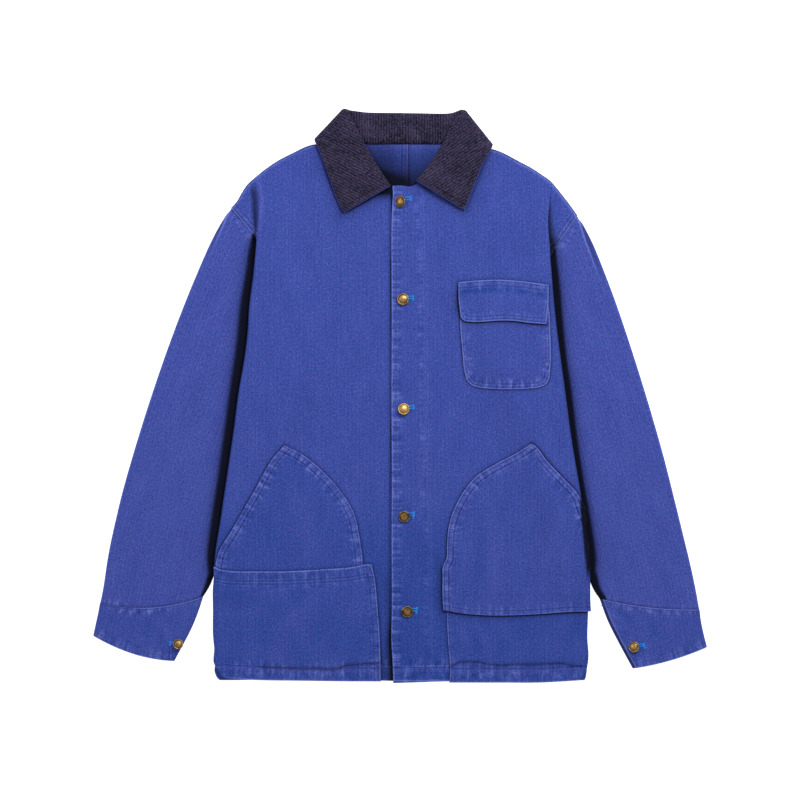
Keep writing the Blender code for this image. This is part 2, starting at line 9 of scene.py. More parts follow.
import bpy
import numpy as np
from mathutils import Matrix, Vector


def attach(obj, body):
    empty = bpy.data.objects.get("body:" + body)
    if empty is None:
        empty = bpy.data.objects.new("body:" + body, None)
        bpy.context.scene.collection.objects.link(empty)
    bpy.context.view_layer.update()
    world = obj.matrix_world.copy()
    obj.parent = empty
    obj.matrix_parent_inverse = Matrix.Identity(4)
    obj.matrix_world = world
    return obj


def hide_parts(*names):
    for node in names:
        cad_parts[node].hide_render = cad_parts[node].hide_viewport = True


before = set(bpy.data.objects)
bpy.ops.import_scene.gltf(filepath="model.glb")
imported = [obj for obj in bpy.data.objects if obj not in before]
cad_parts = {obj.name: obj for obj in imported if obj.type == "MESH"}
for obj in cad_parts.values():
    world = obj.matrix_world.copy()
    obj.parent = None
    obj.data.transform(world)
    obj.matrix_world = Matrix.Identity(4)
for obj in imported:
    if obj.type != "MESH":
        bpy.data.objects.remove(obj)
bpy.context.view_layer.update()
MM = 0.001

# %% [markdown]
# ## Small tools
#
# All sizes below are millimetres, X to the wearer's left, Y up to the collar and Z off the
# table. Short tables with named columns hold the sizes, and every surface is worked out from
# them as a whole numpy array. Smooth steps come from one S curve, and smooth lines through a
# few measured points come from one cubic reading of a table.

# %% Tables, curves and patches
def table(names, *rows):
    """A table as a dictionary of named columns."""
    return dict(zip(names, np.array(rows, dtype=float).T))


def ease(t):
    """S curve: 3t^2 - 2t^3 between 0 and 1, flat outside."""
    t = np.clip(t, 0.0, 1.0)
    return t * t * (3.0 - 2.0 * t)


def bell(distance, width):
    """1 at no distance, falling as e to the minus square of distance over width."""
    return np.exp(-(distance / width) ** 2)


def rounded(distance, radius):
    """A quarter circle: 0 at an edge, rising to 1 a radius inside it."""
    return np.sqrt(1 - (1 - np.clip(distance / radius, 0, 1)) ** 2)


def unit(vectors):
    """The same directions, each of length 1."""
    return vectors / np.linalg.norm(vectors, axis=-1, keepdims=True)


def x_at(line, y):
    """The x of a line of points at a height, straight between its points."""
    line = np.asarray(line, dtype=float)
    line = line[::-1] if line[0, 1] > line[-1, 1] else line
    return np.interp(y, line[:, 1], line[:, 0])


def y_over(line, x, y):
    """How far places lie above a line of points that runs across."""
    return y - np.interp(x, line[:, 0], line[:, 1])


print("an S curve halfway:", float(ease(0.5)))

# %% Smooth lines
def read(rows, column, at, key="y"):
    """A column between its rows: the cubic with each row's slope from its two neighbours."""
    known, value = rows[key], rows[column]
    slope = np.gradient(value, known)
    at = np.clip(at, known[0], known[-1])
    start = np.clip(np.searchsorted(known, at) - 1, 0, len(known) - 2)
    step = known[start + 1] - known[start]
    t = (at - known[start]) / step
    rise = value[start + 1] - value[start]
    return value[start] + t * rise + t * (1 - t) * (
        (1 - t) * (slope[start] * step - rise) - t * (slope[start + 1] * step - rise))


def running_length(points):
    """How far along a line each of its points lies."""
    return np.insert(np.cumsum(np.linalg.norm(np.diff(points, axis=0), axis=1)), 0, 0)


def along(points, shares):
    """Places on the smooth line through the points, at shares 0 to 1 of its length."""
    points = np.array(points, dtype=float)
    reach = running_length(points)
    line = {"s": reach / reach[-1], "x": points[:, 0], "y": points[:, 1]}
    return np.stack([read(line, axis, np.asarray(shares), "s") for axis in "xy"], axis=-1)


def coons(bottom, top, start, end, u, v):
    """A patch from its four edges: both pairs blended across, less the corners' own blend."""
    u, v = u[None, :, None], v[:, None, None]
    across = (1 - v) * bottom[None] + v * top[None]
    upward = (1 - u) * start[:, None] + u * end[:, None]
    corners = ((1 - v) * ((1 - u) * start[0] + u * end[0])
               + v * ((1 - u) * start[-1] + u * end[-1]))
    return across + upward - corners


def inset(line, distance):
    """The line moved to its left by a distance, square to its own direction."""
    line = np.asarray(line, dtype=float)
    step = unit(np.gradient(line, axis=0))
    return line + distance * np.stack([-step[:, 1], step[:, 0]], axis=1)


print("halfway round an even corner:", along(((0, 0), (1, 0), (1, 1)), [0.5])[0].round(2))

# %% Distances
def near_line(x, y, line):
    """Each place's distance from a line of points, and how far along it the nearest one is."""
    line = np.asarray(line, dtype=float)
    start, step = line[:-1], np.diff(line, axis=0)
    length = np.maximum(np.linalg.norm(step, axis=1), 1e-9)
    reach = np.insert(np.cumsum(length), 0, 0)[:-1]
    place = np.stack([np.ravel(x), np.ravel(y)], axis=-1)[:, None]
    share = np.clip(((place - start) * step).sum(-1) / length ** 2, 0, 1)
    gap = np.linalg.norm(place - start - share[..., None] * step, axis=-1)
    nearest = gap.argmin(axis=1)
    row = np.arange(nearest.size)
    travelled = reach[nearest] + share[row, nearest] * length[nearest]
    return gap[row, nearest].reshape(np.shape(x)), travelled.reshape(np.shape(x))


print("one off a line:", float(near_line(0.5, 1.0, ((0, 0), (1, 0)))[0]))

# %% Unevenness and creases
def wander(s, pitch, seed):
    """Uneven waves along a line: seeded random heights a pitch apart, joined by S curves."""
    heights = np.random.default_rng(seed).uniform(-1, 1, 997)
    place = np.asarray(s) / pitch
    low = np.floor(place).astype(int)
    t = ease(place - low)
    return heights[low % 997] * (1 - t) + heights[(low + 1) % 997] * t


def cloud(x, y, size, seed):
    """Soft uneven patches: seeded random heights on a square net, joined by S curves."""
    heights = np.random.default_rng(seed).uniform(-1, 1, (61, 61))
    column, row = np.asarray(x) / size, np.asarray(y) / size
    i, j = np.floor(column).astype(int), np.floor(row).astype(int)
    s, t = ease(column - i), ease(row - j)
    lower = heights[i % 61, j % 61] * (1 - s) + heights[(i + 1) % 61, j % 61] * s
    upper = heights[i % 61, (j + 1) % 61] * (1 - s) + heights[(i + 1) % 61, (j + 1) % 61] * s
    return lower * (1 - t) + upper * t


def faint(distance, least):
    """A distance that never falls below a least one, so that its groove is fainter:
    sqrt(d d + least least)."""
    return np.hypot(distance, least)


CREASE = ("x0", "y0", "x1", "y1", "bow", "width", "height")


def creases(x, y, rows):
    """Soft ridges and troughs: each a bell across its bowed line, fading to both ends."""
    total = np.zeros(np.shape(x))
    for x0, y0, x1, y1, bow, width, height in zip(*(rows[name] for name in CREASE)):
        run = np.array([x1 - x0, y1 - y0])
        length = np.linalg.norm(run)
        run /= length
        t = ((x - x0) * run[0] + (y - y0) * run[1]) / length
        aside = (x - x0) * -run[1] + (y - y0) * run[0] - bow * 4 * t * (1 - t)
        fade = np.sin(np.pi * np.clip(t, 0, 1)) ** 0.7
        total += height * fade * bell(aside, width)
    return total


print("a wandering line's start:", wander([0.0, 1.0, 2.0], 4.0, 1).round(2))

# %% [markdown]
# ## The lie of the jacket
#
# One set of tables says how the whole jacket lies: where the body's sides fold over, how high
# the cloth stands along each fold, where the sleeves run, and where the neck and shoulders
# are. The finished cloth follows the same heights as the plain solids, because the pieces lie
# on each other and must keep clear.

# %% Side folds and tucks
BASE_HEIGHT = 4.2
SLEEVE_HEIGHT = 6.0
OVERLAP_RISE = 2.4
LAYER = 1.55
HEM_Y = -397.0
BACK_NECK_Y = 353.0

SIDE = table(
    ("y", "right", "left", "seam_right", "seam_left", "crest", "under"),
    (-399, -248, 256.5, -236, 245, 6, 0),
    (-396, -253.5, 259, -239, 246, 6.1, 0),
    (-389, -258.5, 261.2, -244, 249, 6.2, 0),
    (-370, -259, 261.5, -247, 250, 6.4, 0),
    (-345, -259, 262.5, -249, 250, 6.6, 0),
    (-318, -258, 261.5, -249, 250, 7.2, 0),
    (-300, -258.5, 262, -248.5, 250, 7.6, 0),
    (-275, -258.5, 262, -247, 249, 11, 6.4),
    (-239, -260, 262, -240, 242, 11.8, 6.4),
    (-163, -250, 256.5, -218, 222, 11.8, 6.4),
    (-54, -234, 239.5, -182, 187, 11.8, 6.4),
    (13, -225, 230.5, -158, 163, 11.8, 6.4),
    (50, -218.5, 225.5, -144, 149, 11.8, 6.4),
    (84, -214, 221, -144, 151, 11.8, 6.4),
    (128, -211, 216, -155, 171, 11.8, 6.4),
    (175, -205, 212, -174, 202, 11.8, 6.4),
    (205, -202, 209.5, -192, 214, 11.6, 6.4),
    (254, -197, 207.5, -216, 240, 9.6, 6),
    (280, -196, 211, -230, 250, 7.6, 6),
    (307, -202, 214, -240, 255, 6.4, 6),
    (360, -214, 224, -250, 260, 6, 6))

# How wide the deep shade is where each sleeve tucks in under the body
TUCK = table(
    ("y", "right", "left"),
    (-290, 6, 7), (-271, 7, 9), (-257, 8, 11), (-243, 9, 12),
    (-229, 10.7, 13), (-201, 12.2, 11.5), (-159, 13.2, 8.4), (-117, 12.6, 7.2),
    (-75, 13.2, 8), (9, 13.2, 9.2), (51, 14.4, 8.6), (93, 14.4, 9.6), (146, 12.4, 10.8),
    (180, 11, 9.6), (205, 9.6, 8), (225, 6.5, 5.5), (240, 2.5, 2), (262, 0, 0))

# How wide the same shade is along a sleeve's own inner edge, below the body
INNER_TUCK = table(
    ("y", "right", "left"),
    (-292, 1, 5), (-284, 1.8, 7.5), (-271, 4.2, 8), (-257, 7, 11),
    (-243, 7.5, 12), (-226, 7, 10), (-200, 0, 0))

print("body's width at the hem, mm:", SIDE["left"][3] - SIDE["right"][3])

# %% Rings of the sleeves and cuffs
RINGS = ("outer_x", "outer_y", "inner_x", "inner_y", "bow_x", "bow_y")
SLEEVES = {
    -1: table(
        RINGS,
        (-238.5, 263, -149, 82, 18, 4), (-256.5, 233, -156, 58, 14, 2),
        (-273, 199, -163, 38, 9, 1), (-299.5, 136, -174, 8, 4, 0),
        (-326, 66, -182, -20, 1, 0), (-350, -4, -198, -66, 0, 0),
        (-371, -71, -214, -119, 0, 0), (-389, -134, -230, -168, 0, 0),
        (-403, -193, -246, -212, 0, -1), (-410, -229, -256, -238, 0, -3),
        (-415.5, -266, -266, -264, 0, -7), (-420.2, -290, -276, -281, 0, -11)),
    1: table(
        RINGS,
        (250.5, 252, 155, 80, -9, 0), (268, 219, 162, 56, -8, 0),
        (283.5, 182, 168, 36, -5, 0), (303.5, 129, 176, 6, -2, 0),
        (326, 62, 187, -22, 0, 0), (349, -12, 202, -68, 0, 0),
        (369, -82, 218, -121, 0, 0), (385, -145, 234, -170, 0, 0),
        (398, -198, 249, -214, 0, -1), (406, -231, 259, -240, 0, -2),
        (414, -268, 270, -268, 0, -4), (419.5, -299, 280, -284, 0, -5))}
CUFFS = {
    -1: table(
        RINGS,
        (-420.5, -289.2, -275.6, -280.4, 0, -11), (-423, -303, -282, -300, 0, -12),
        (-426.5, -319, -293, -327, 0, -10), (-430, -335, -316, -370.5, 0, -8)),
    1: table(
        RINGS,
        (419.8, -298.2, 279.6, -283.2, 0, -5), (422, -315, 291, -314, 0, -6),
        (426, -334, 307, -346, 0, -5), (430.3, -351, 326, -381, 0, -4))}

print("rings of a sleeve:", len(SLEEVES[1]["outer_x"]))

# %% Shoulders and neck
SHOULDER = {
    -1: ((-82, 370), (-98, 361), (-112, 354.5), (-126, 352), (-150, 341.5),
         (-172, 330), (-189, 318.5), (-202, 308), (-214, 297), (-222, 285),
         (-229, 273), (-238, 263)),
    1: ((94, 367), (109, 357), (122, 349), (138, 344), (168, 329), (184, 320.5),
        (197, 312), (211, 302), (219, 293), (227, 283), (240, 266), (250, 252))}
NECKLINE = {
    -1: ((22, 293), (-8, 293), (-29, 303), (-45, 321), (-66, 346), (-82, 370)),
    1: ((-12, 295), (2, 295.5), (16, 294.5), (26, 300), (36, 307), (56, 323),
        (77, 346), (94, 367))}
BACK_NECK = {
    -1: ((-82, 370), (-66, 361), (-49, 354.5), (-20, 354), (11.6, 354)),
    1: ((94, 367), (76, 360), (60, 354.5), (36, 354), (12.4, 354))}
CENTRE_BACK_TOP_X = 12.0
ARMHOLE_START = 0.80
UNDERARM_Y = 60.0
print("shoulder to shoulder, mm:", SHOULDER[1][-1][0] - SHOULDER[-1][-1][0])

# %% Reading the lie
def side_name(side):
    """The wearer's side a sign stands for."""
    return "left" if side > 0 else "right"


def ring_line(rings, row, shares):
    """One ring in plan: straight from outer to inner fold, bowed by 4t(1-t)."""
    outer = np.array([rings["outer_x"][row], rings["outer_y"][row]])
    inner = np.array([rings["inner_x"][row], rings["inner_y"][row]])
    bow = np.array([rings["bow_x"][row], rings["bow_y"][row]])
    shares = np.asarray(shares, dtype=float)[:, None]
    return outer + shares * (inner - outer) + 4 * shares * (1 - shares) * bow


def inside_fold(x, y, side):
    """Distance of a place inside the body's side fold; negative beyond it."""
    return side * (read(SIDE, side_name(side), y) - x)


def back_height(x, y):
    """The back lies on the table and lifts 4 mm on an S curve over the collar's fall."""
    beside = (np.abs(x - 6) - 112) / 50.0
    return 4 * ease((y - 300) / 38) * (1 - ease(beside))


def fold_radius(y):
    """Half the height between the front along its fold and the cloth turned under."""
    return (np.interp(y, SIDE["y"], SIDE["crest"]) - np.interp(y, SIDE["y"], SIDE["under"])) / 2


def armhole(side, shares):
    """The armhole seam, a gap inside the sleeve's first ring that widens at the shoulder."""
    line = ring_line(SLEEVES[side], 0, shares)
    widening = 1.2 * np.exp(-15 * np.asarray(shares, dtype=float))
    return line + (1 + widening)[:, None] * np.array([-side, 0])


print("width across the cuffs, mm:",
      CUFFS[1]["outer_x"].max() - CUFFS[-1]["outer_x"].min())

# %% [markdown]
# ## Relief of the washed cloth
#
# Garment-washed twill is never quite flat. Long soft creases run down the fronts and sleeves,
# and every stitched edge draws the cloth into small uneven puckers, which wear paler on their
# tops. The creases are listed, a table row each. The puckers follow the sewing: they
# depend on how far a point lies from the seam and how far along it, so they run square to it.

# %% Creases placed one by one
FRONT_CREASES = {
    -1: table(
        CREASE,
        (-104, 330, -118, 150, 6, 26, 0.9), (-150, 300, -168, 120, -8, 20, -0.8),
        (-60, 250, -50, 60, 4, 24, 0.7), (-100, 150, -96, -50, -6, 22, -0.7),
        (-30, 262, -24, 80, 2, 13, -0.7), (-160, 60, -205, -90, -5, 14, 0.7),
        (-190, 230, -160, 150, 5, 9, -0.8), (-205, 215, -178, 180, 2, 7, 0.7),
        (-40, -20, -46, -190, -3, 16, 0.6), (-28, -240, -16, -388, 3, 6, -1),
        (-22, -330, -30, -392, -2, 5, 0.9), (-84, 240, -112, 205, 3, 10, -0.6)),
    1: table(
        CREASE,
        (112, 320, 128, 190, -6, 24, 0.9), (160, 300, 172, 180, 6, 18, -0.8),
        (60, 240, 64, 40, 4, 26, 0.6), (100, -4, 112, -70, -4, 18, -0.6),
        (196, 232, 176, 186, -3, 9, -0.7), (208, 130, 196, 60, 3, 10, 0.6),
        (150, -10, 205, -60, 4, 16, 0.6), (28, -180, 24, -380, -3, 14, 0.6),
        (52, -270, 56, -392, 2, 7, -0.9), (200, -20, 232, -110, 3, 10, -0.7))}
SLEEVE_CREASES = {
    -1: table(
        CREASE,
        (-258, 214, -300, 98, 6, 13, 0.8), (-232, 190, -262, 92, -3, 9, -0.9),
        (-330, 30, -372, -110, 4, 18, 0.8), (-250, 30, -300, -110, -8, 20, -0.8),
        (-392, -150, -404, -262, -3, 12, -0.8), (-300, -150, -330, -262, 5, 22, 0.9),
        (-350, -190, -362, -286, 3, 12, -0.6), (-286, -200, -300, -272, 2, 10, -0.7),
        (-238, -60, -268, -150, -3, 8, 0.8), (-290, 92, -262, 40, 3, 12, 0.6)),
    1: table(
        CREASE,
        (243, 258, 286, 150, 7, 2.6, 1.5), (249, 250, 296, 120, 8, 8, 0.7),
        (246, 180, 270, 70, 4, 16, -0.8), (330, 20, 372, -116, -4, 18, 0.7),
        (262, 20, 306, -106, 7, 20, -0.8), (390, -160, 402, -270, 3, 12, -0.8),
        (306, -150, 336, -272, -5, 20, 0.9), (352, -200, 366, -292, -3, 12, -0.6),
        (292, -206, 300, -272, -2, 9, -0.7), (246, -70, 272, -160, 3, 8, 0.8))}
CUFF_CREASES = {
    -1: table(
        CREASE,
        (-330, -318, -318, -346, -2, 5, 0.7), (-350, -312, -356, -340, 2, 7, -0.6),
        (-402, -304, -408, -324, -1, 4, -0.5), (-340, -330, -330, -356, 2, 5, -0.6),
        (-372, -330, -366, -352, 1, 6, 0.5)),
    1: table(
        CREASE,
        (284, -298, 312, -316, -2, 4.5, 0.8), (296, -296, 330, -322, 3, 5, -0.7),
        (292, -316, 318, -330, -2, 3.5, 0.8), (304, -330, 322, -336, 2, 3, -0.7),
        (350, -318, 358, -344, 2, 6, -0.6), (376, -312, 380, -338, -2, 6, 0.6),
        (334, -356, 356, -350, 2, 4, 0.5))}


print("creases on the fronts:", sum(len(rows["x0"]) for rows in FRONT_CREASES.values()))

# %% Height and puckers of the cloth
def body_relief(x, y, side):
    """Unevenness of a front: its creases and a faint soft cloudiness."""
    return creases(x, y, FRONT_CREASES[side]) + 0.22 * cloud(x + 700, y + 900, 46, 11 + side)


def front_height(x, y, side):
    """A front's outer face: level, up over the sleeve and the underlap, up to the neck."""
    depth = inside_fold(x, y, side)
    fold = read(SIDE, side_name(side), y)
    tuck = np.maximum(side * (fold - read(SIDE, "seam_" + side_name(side), y)), 0)
    crest = np.interp(y, SIDE["y"], SIDE["crest"])
    slope = 1 - ease((depth - tuck - 6) / 48)
    height = BASE_HEIGHT + (crest - BASE_HEIGHT) * slope
    beyond = SLEEVE_HEIGHT + (crest - SLEEVE_HEIGHT) * (1 - ease(-depth / 8))
    valley = ease((y - 200) / 16) * ease((308 - y) / 40)
    height = np.where(depth < 0, beyond, height)
    height = height + valley * (1.2 * bell(depth - 3, 6)
                                - 1.6 * bell(depth + 9, 4.5))
    neck_x, neck_y = SHOULDER[side][0]
    height = height + 1.8 * (1 - ease(np.hypot(x - neck_x, y - neck_y) / 62))
    height = height + 0.75 * back_height(x, y)
    if side > 0:
        height = height + OVERLAP_RISE * (1 - ease((x - 29) / 18))
    calm = ease(depth / 14) * ease((300 - y) / 40 + 0.4)
    return height + body_relief(x, y, side) * calm


def pucker(d, s, rows, pitch, seed, reach=6):
    """Height beside a sewn edge, and how strongly the cloth puckers there: full across the band
    up to its last stitch row, half of it just beyond, fading with distance."""
    last = max(rows)
    wave = wander(s, pitch, seed) + 0.6 * wander(s, pitch * 0.43, seed + 1)
    band = np.maximum(bell(d - last * 0.5, last * 0.6),
                      0.75 * bell(d - last - 2, reach) * (d > last))
    groove = sum(bell(d - row, 1.4) for row in rows)
    return 0.34 * wave * band - 0.22 * groove, band


def strongest(seams):
    """The fine ripple's fields where seams meet: strength and run of the strongest one."""
    strength = np.stack([band for band, _ in seams])
    run = np.stack([s + 61 * number for number, (_, s) in enumerate(seams)])
    best = strength.argmax(axis=0)[None]
    return {"pucker": np.take_along_axis(strength, best, 0)[0],
            "run": np.take_along_axis(run, best, 0)[0]}


print("front's height at mid-chest, mm:",
      front_height(np.array([100]), np.array([0]), 1).round(1))

# %% [markdown]
# ## Finishes
#
# Each finish is a node tree, and its arithmetic reads like arithmetic: a small class wraps a
# socket, and adding or multiplying two of them adds the Math node. Twill is drawn as a
# herringbone of fine ribs with uneven yarns, pale where its attribute of wear and painted light
# is high and deep where it is low, and darkened by painted shade. The weave reads the cloth's
# own grain map, so it turns with each sleeve.

# %% A small language for shaders
class Signal:
    """A socket that can be added, multiplied and compared as a number."""

    def __init__(self, finish, socket):
        self.finish, self.socket = finish, socket

    def math(self, operation, *others, first=None):
        values = [self, *others] if first is None else [first, self]
        return self.finish.add("ShaderNodeMath", dict(enumerate(values)), operation=operation)

    def __add__(self, other): return self.math("ADD", other)
    def __sub__(self, other): return self.math("SUBTRACT", other)
    def __mul__(self, other): return self.math("MULTIPLY", other)
    def __truediv__(self, other): return self.math("DIVIDE", other)
    def __radd__(self, other): return self.math("ADD", first=other)
    def __rsub__(self, other): return self.math("SUBTRACT", first=other)
    def __rmul__(self, other): return self.math("MULTIPLY", first=other)
    def __abs__(self): return self.math("ABSOLUTE")
    def __neg__(self): return self * -1.0

    def sine(self): return self.math("SINE")
    def power(self, other): return self.math("POWER", other)

    def bell(self, width):
        """1 where the value is 0, falling as e to the minus square of value over width."""
        share = self / width
        return (-(share * share)).math("EXPONENT")

    def fading(self, reach):
        """1 where the value is 0 and less by a factor e for each further reach."""
        return (-(self / reach)).math("EXPONENT")

    def held(self): return self.math("MINIMUM", 1.0).math("MAXIMUM", 0.0)


print("a signal can:", [name for name in vars(Signal) if not name.startswith("_")])

# %% A material under construction
class Finish:
    """A material under construction."""

    def __init__(self, name, roughness, metallic=0.0, **constants):
        self.material = bpy.data.materials.new(name)
        self.material.use_nodes = True
        self.tree = self.material.node_tree
        self.shader = self.tree.nodes["Principled BSDF"]
        self.shader.inputs["Roughness"].default_value = roughness
        self.shader.inputs["Metallic"].default_value = metallic
        for socket, value in constants.items():
            self.shader.inputs[socket.replace("_", " ")].default_value = value

    def add(self, kind, inputs=(), output=0, **settings):
        """One node: its settings first, then the values or links of its sockets."""
        node = self.tree.nodes.new(kind)
        for setting, value in settings.items():
            setattr(node, setting, value)
        for socket, value in dict(inputs).items():
            self.join(value, node.inputs[socket])
        return Signal(self, node.outputs[output])

    def join(self, value, socket):
        if isinstance(value, Signal):
            self.tree.links.new(value.socket, socket)
        else:
            socket.default_value = value

    def attribute(self, name):
        return self.add("ShaderNodeAttribute", output="Fac", attribute_name=name)

    def grain(self, across, along_it):
        """The cloth's own map, in threads of the given sizes in millimetres."""
        place = self.add("ShaderNodeUVMap", uv_map="grain")
        scale = (1 / (across * MM), 1 / (along_it * MM), 1.0)
        return self.add("ShaderNodeVectorMath", {0: place, 1: scale}, operation="MULTIPLY")

    def split(self, vector):
        """The X and the Y of a vector."""
        x = self.add("ShaderNodeSeparateXYZ", {0: vector}, output="X")
        return x, Signal(self, x.socket.node.outputs["Y"])

    def noise(self, place, scale=1.0, detail=2.0):
        """Noise from -1 to 1, whatever its vector's units."""
        made = self.add("ShaderNodeTexNoise", {"Vector": place, "Scale": scale, "Detail": detail},
                        output="Fac")
        return (made - 0.5) * 2.6

    def mix(self, share, first, second):
        return self.add("ShaderNodeMix", {0: share, 6: first, 7: second}, output=2,
                        data_type="RGBA")

    def bump(self, height, depth_mm, strength=1.0):
        return self.add("ShaderNodeBump", {"Height": height, "Strength": strength,
                                           "Distance": depth_mm * MM})

    def paint(self, **inputs):
        for name, value in inputs.items():
            self.join(value, self.shader.inputs[name.replace("_", " ")])
        return self.material


print("methods of a finish:", [name for name in vars(Finish) if not name.startswith("__")])

# %% Washed herringbone twill
TWILL_BLUE = (0.032, 0.083, 0.412, 1.0)
TWILL_VIOLET = (0.064, 0.080, 0.404, 1.0)
TWILL_PALE = (0.150, 0.198, 0.620, 1.0)
TWILL_DEEP = (0.008, 0.022, 0.145, 1.0)
SHADE_BLACK = (0.0015, 0.0025, 0.0140, 1.0)
COLUMN_WIDTH = 5.2
RIB_PITCH = 1.25
ROWS = ("row_a", "row_b", "row_c")


def twill(name):
    """Herringbone: a rib's phase climbs with the height and with a saw of the width, so the
    ribs lean one way in one column and the other way in the next. The seam rows are grooves
    between pale beads: bells of the distances that the piece carries."""
    finish = Finish(name, 0.9, Sheen_Weight=0.05, Sheen_Roughness=0.5, Specular_IOR_Level=0.15)
    across, upward = finish.split(finish.grain(1.0, 1.0))
    saw = abs((across / (2 * COLUMN_WIDTH)).math("FRACT") * 2.0 - 1.0)
    rib = ((upward / RIB_PITCH + saw * (COLUMN_WIDTH / RIB_PITCH)) * 6.2832).sine()
    column_edge = abs(saw * 2.0 - 1.0).power(5.0)
    yarns = finish.noise(finish.grain(1.5, 4.0))
    specks = finish.noise(finish.grain(1.9, 2.0), detail=3.0)
    streaks = finish.noise(finish.grain(3.4, 36.0))
    patches = finish.noise(finish.grain(24.0, 60.0))
    hue = finish.noise(finish.grain(4.0, 7.0))
    wear = finish.attribute("wear")
    long_ripple, ripple = (finish.noise(finish.add("ShaderNodeCombineXYZ", {
        "X": finish.attribute("run") / pitch, "Y": finish.attribute("row_a") / reach}))
        for pitch, reach in ((8.5, 19.0), (3.7, 15.0)))
    grooves = [finish.attribute(row).bell(0.9) for row in ROWS]
    groove = sum(grooves) * (0.75 - 0.55 * long_ripple)
    bead = sum((abs(finish.attribute(row)) - 1.9).bell(0.9) for row in ROWS)
    paleness = finish.attribute("edge").bell(0.95) * (1.0 + specks * 0.8 + long_ripple * 0.70)
    wave = ripple * 0.62 + long_ripple * 0.75
    puckers = finish.attribute("pucker") * (wave + abs(wave) * 0.30)
    tone = (wear * 0.7 + yarns * 0.42 + specks * 0.74 + streaks * 0.15
            + patches * 0.12 - column_edge * 0.16 + rib * 0.18 + 0.01
            + paleness * 1.50 + bead * 0.16 - groove * 0.62 + puckers * 1.15)
    colour = finish.mix((0.55 + wear * 1.6 + hue * 0.9).held(), TWILL_BLUE, TWILL_VIOLET)
    colour = finish.mix(tone.held(), colour, TWILL_PALE)
    colour = finish.mix((-tone).held(), colour, TWILL_DEEP)
    # Painted shade and painted shadow lines darken the colour towards SHADE_BLACK
    valley = finish.attribute("valley")
    dark = (finish.attribute("shade") + finish.attribute("lap").fading(1.6) * 0.78
            + valley.bell(7.0) * (valley * 3.0).held() * 0.95).held()
    colour = finish.mix(dark, colour, SHADE_BLACK)
    height = (rib * 0.05 + yarns * 0.06 + specks * 0.08 + bead * 0.08 - groove * 0.24
              + puckers * 0.42)
    return finish.paint(Base_Color=colour, Normal=finish.bump(height, 1.0, 0.9))


blue_twill = twill("blue_twill_cloth")
print("herringbone columns, mm:", COLUMN_WIDTH, "ribs, mm:", RIB_PITCH)

# %% [markdown]
# Corduroy has cut ridges, the wales, with a soft nap. A number carried by the piece, the
# distance across the wales, makes each ridge, so the wales run up the stand and lean on the
# leaves as the cloth does. The valleys are painted nearly black as shade and the ridges paler as
# lit.

# %% Navy corduroy
# One navy corduroy, painted lit on the ridges and painted shaded in the valleys
CORD_RIDGE_LIT = (0.088, 0.071, 0.148, 1.0)
CORD_VALLEY_SHADED = (0.007, 0.006, 0.016, 1.0)
WALE_PITCH = 3.8


def corduroy():
    """Ridges: the absolute sine of the distance across the wales, raised to a soft power; painted
    shade in the valleys, painted light on the ridges.
    """
    finish = Finish("navy_corduroy_cloth", 0.95, Sheen_Weight=0.06, Sheen_Roughness=0.4,
                    Specular_IOR_Level=0.12)
    place = finish.add("ShaderNodeTexCoord", output="Object")
    sway = finish.noise(place, 210.0)
    nap = finish.noise(place, 620.0, 3.0)
    tufts = finish.noise(place, 330.0, 2.0)
    patches = finish.noise(place, 46.0)
    phase = finish.attribute("wale") / WALE_PITCH + sway * 0.30
    ridge = abs((phase * 3.14159).sine()).power(0.8)
    tone = (ridge * (0.46 + tufts * 0.50) + nap * 0.72 + patches * 0.12
            + finish.attribute("wear") * 0.4 + 0.03).held()
    colour = finish.mix(tone, CORD_VALLEY_SHADED, CORD_RIDGE_LIT)
    bumps = finish.bump(ridge * 0.45 + nap * 0.2, 1.0, 0.9)
    return finish.paint(Base_Color=colour, Normal=bumps)


navy_corduroy = corduroy()
print("wales, mm:", WALE_PITCH)

# %% [markdown]
# The buttons are stamped brass, antiqued so that the hollows stay dark and the worn rims shine.
# The sewing thread is a shade paler than the cloth, and the buttonholes are azure.

# %% Brass and thread
BRASS_BRIGHT = (0.68, 0.42, 0.14, 1.0)
BRASS_DARK = (0.070, 0.038, 0.012, 1.0)
THREAD_BLUE = (0.040, 0.072, 0.340, 1.0)
AZURE = (0.008, 0.340, 1.000, 1.0)


def brass():
    finish = Finish("antique_brass_metal", 0.34, metallic=0.62)
    place = finish.add("ShaderNodeTexCoord", output="Object")
    tarnish = finish.noise(place, 420.0, 4.0)
    scratches = finish.noise(place, 2600.0, 2.0)
    blotches = finish.noise(place, 190.0, 2.0)
    # Dark where the patina or a button's painted shade is high
    bright = (0.60 - finish.attribute("recess") * 0.80 + tarnish * 0.38 + blotches * 0.50
              + scratches * 0.08).held()
    colour = finish.mix(bright, BRASS_DARK, BRASS_BRIGHT)
    rough = 0.52 - bright * 0.22
    return finish.paint(Base_Color=colour, Roughness=rough,
                        Normal=finish.bump(tarnish + scratches, 0.03, 0.6))


def thread(name, colour):
    """Twisted thread: a fine slanting ripple along the stitches."""
    finish = Finish(name, 0.62, Sheen_Weight=0.2)
    place = finish.add("ShaderNodeTexCoord", output="Object")
    twist = finish.noise(place, 2200.0)
    dim = tuple(0.55 * part for part in colour[:3]) + (1.0,)
    return finish.paint(Base_Color=finish.mix((0.6 + twist * 0.5).held(), dim, colour),
                        Normal=finish.bump(twist, 0.05))


antique_brass = brass()
blue_thread = thread("blue_thread", THREAD_BLUE)
azure_thread = thread("azure_thread", AZURE)
print("finishes:", [made.name for made in bpy.data.materials])

# %% [markdown] ## From arrays to cloth  A cloth piece is a grid of points on its outer face.
# Stitches are the reverse: hundreds of tiny spindles in one mesh per seam group.

# %% Making a cloth piece
made_cloth = {}
FAR = 99.0


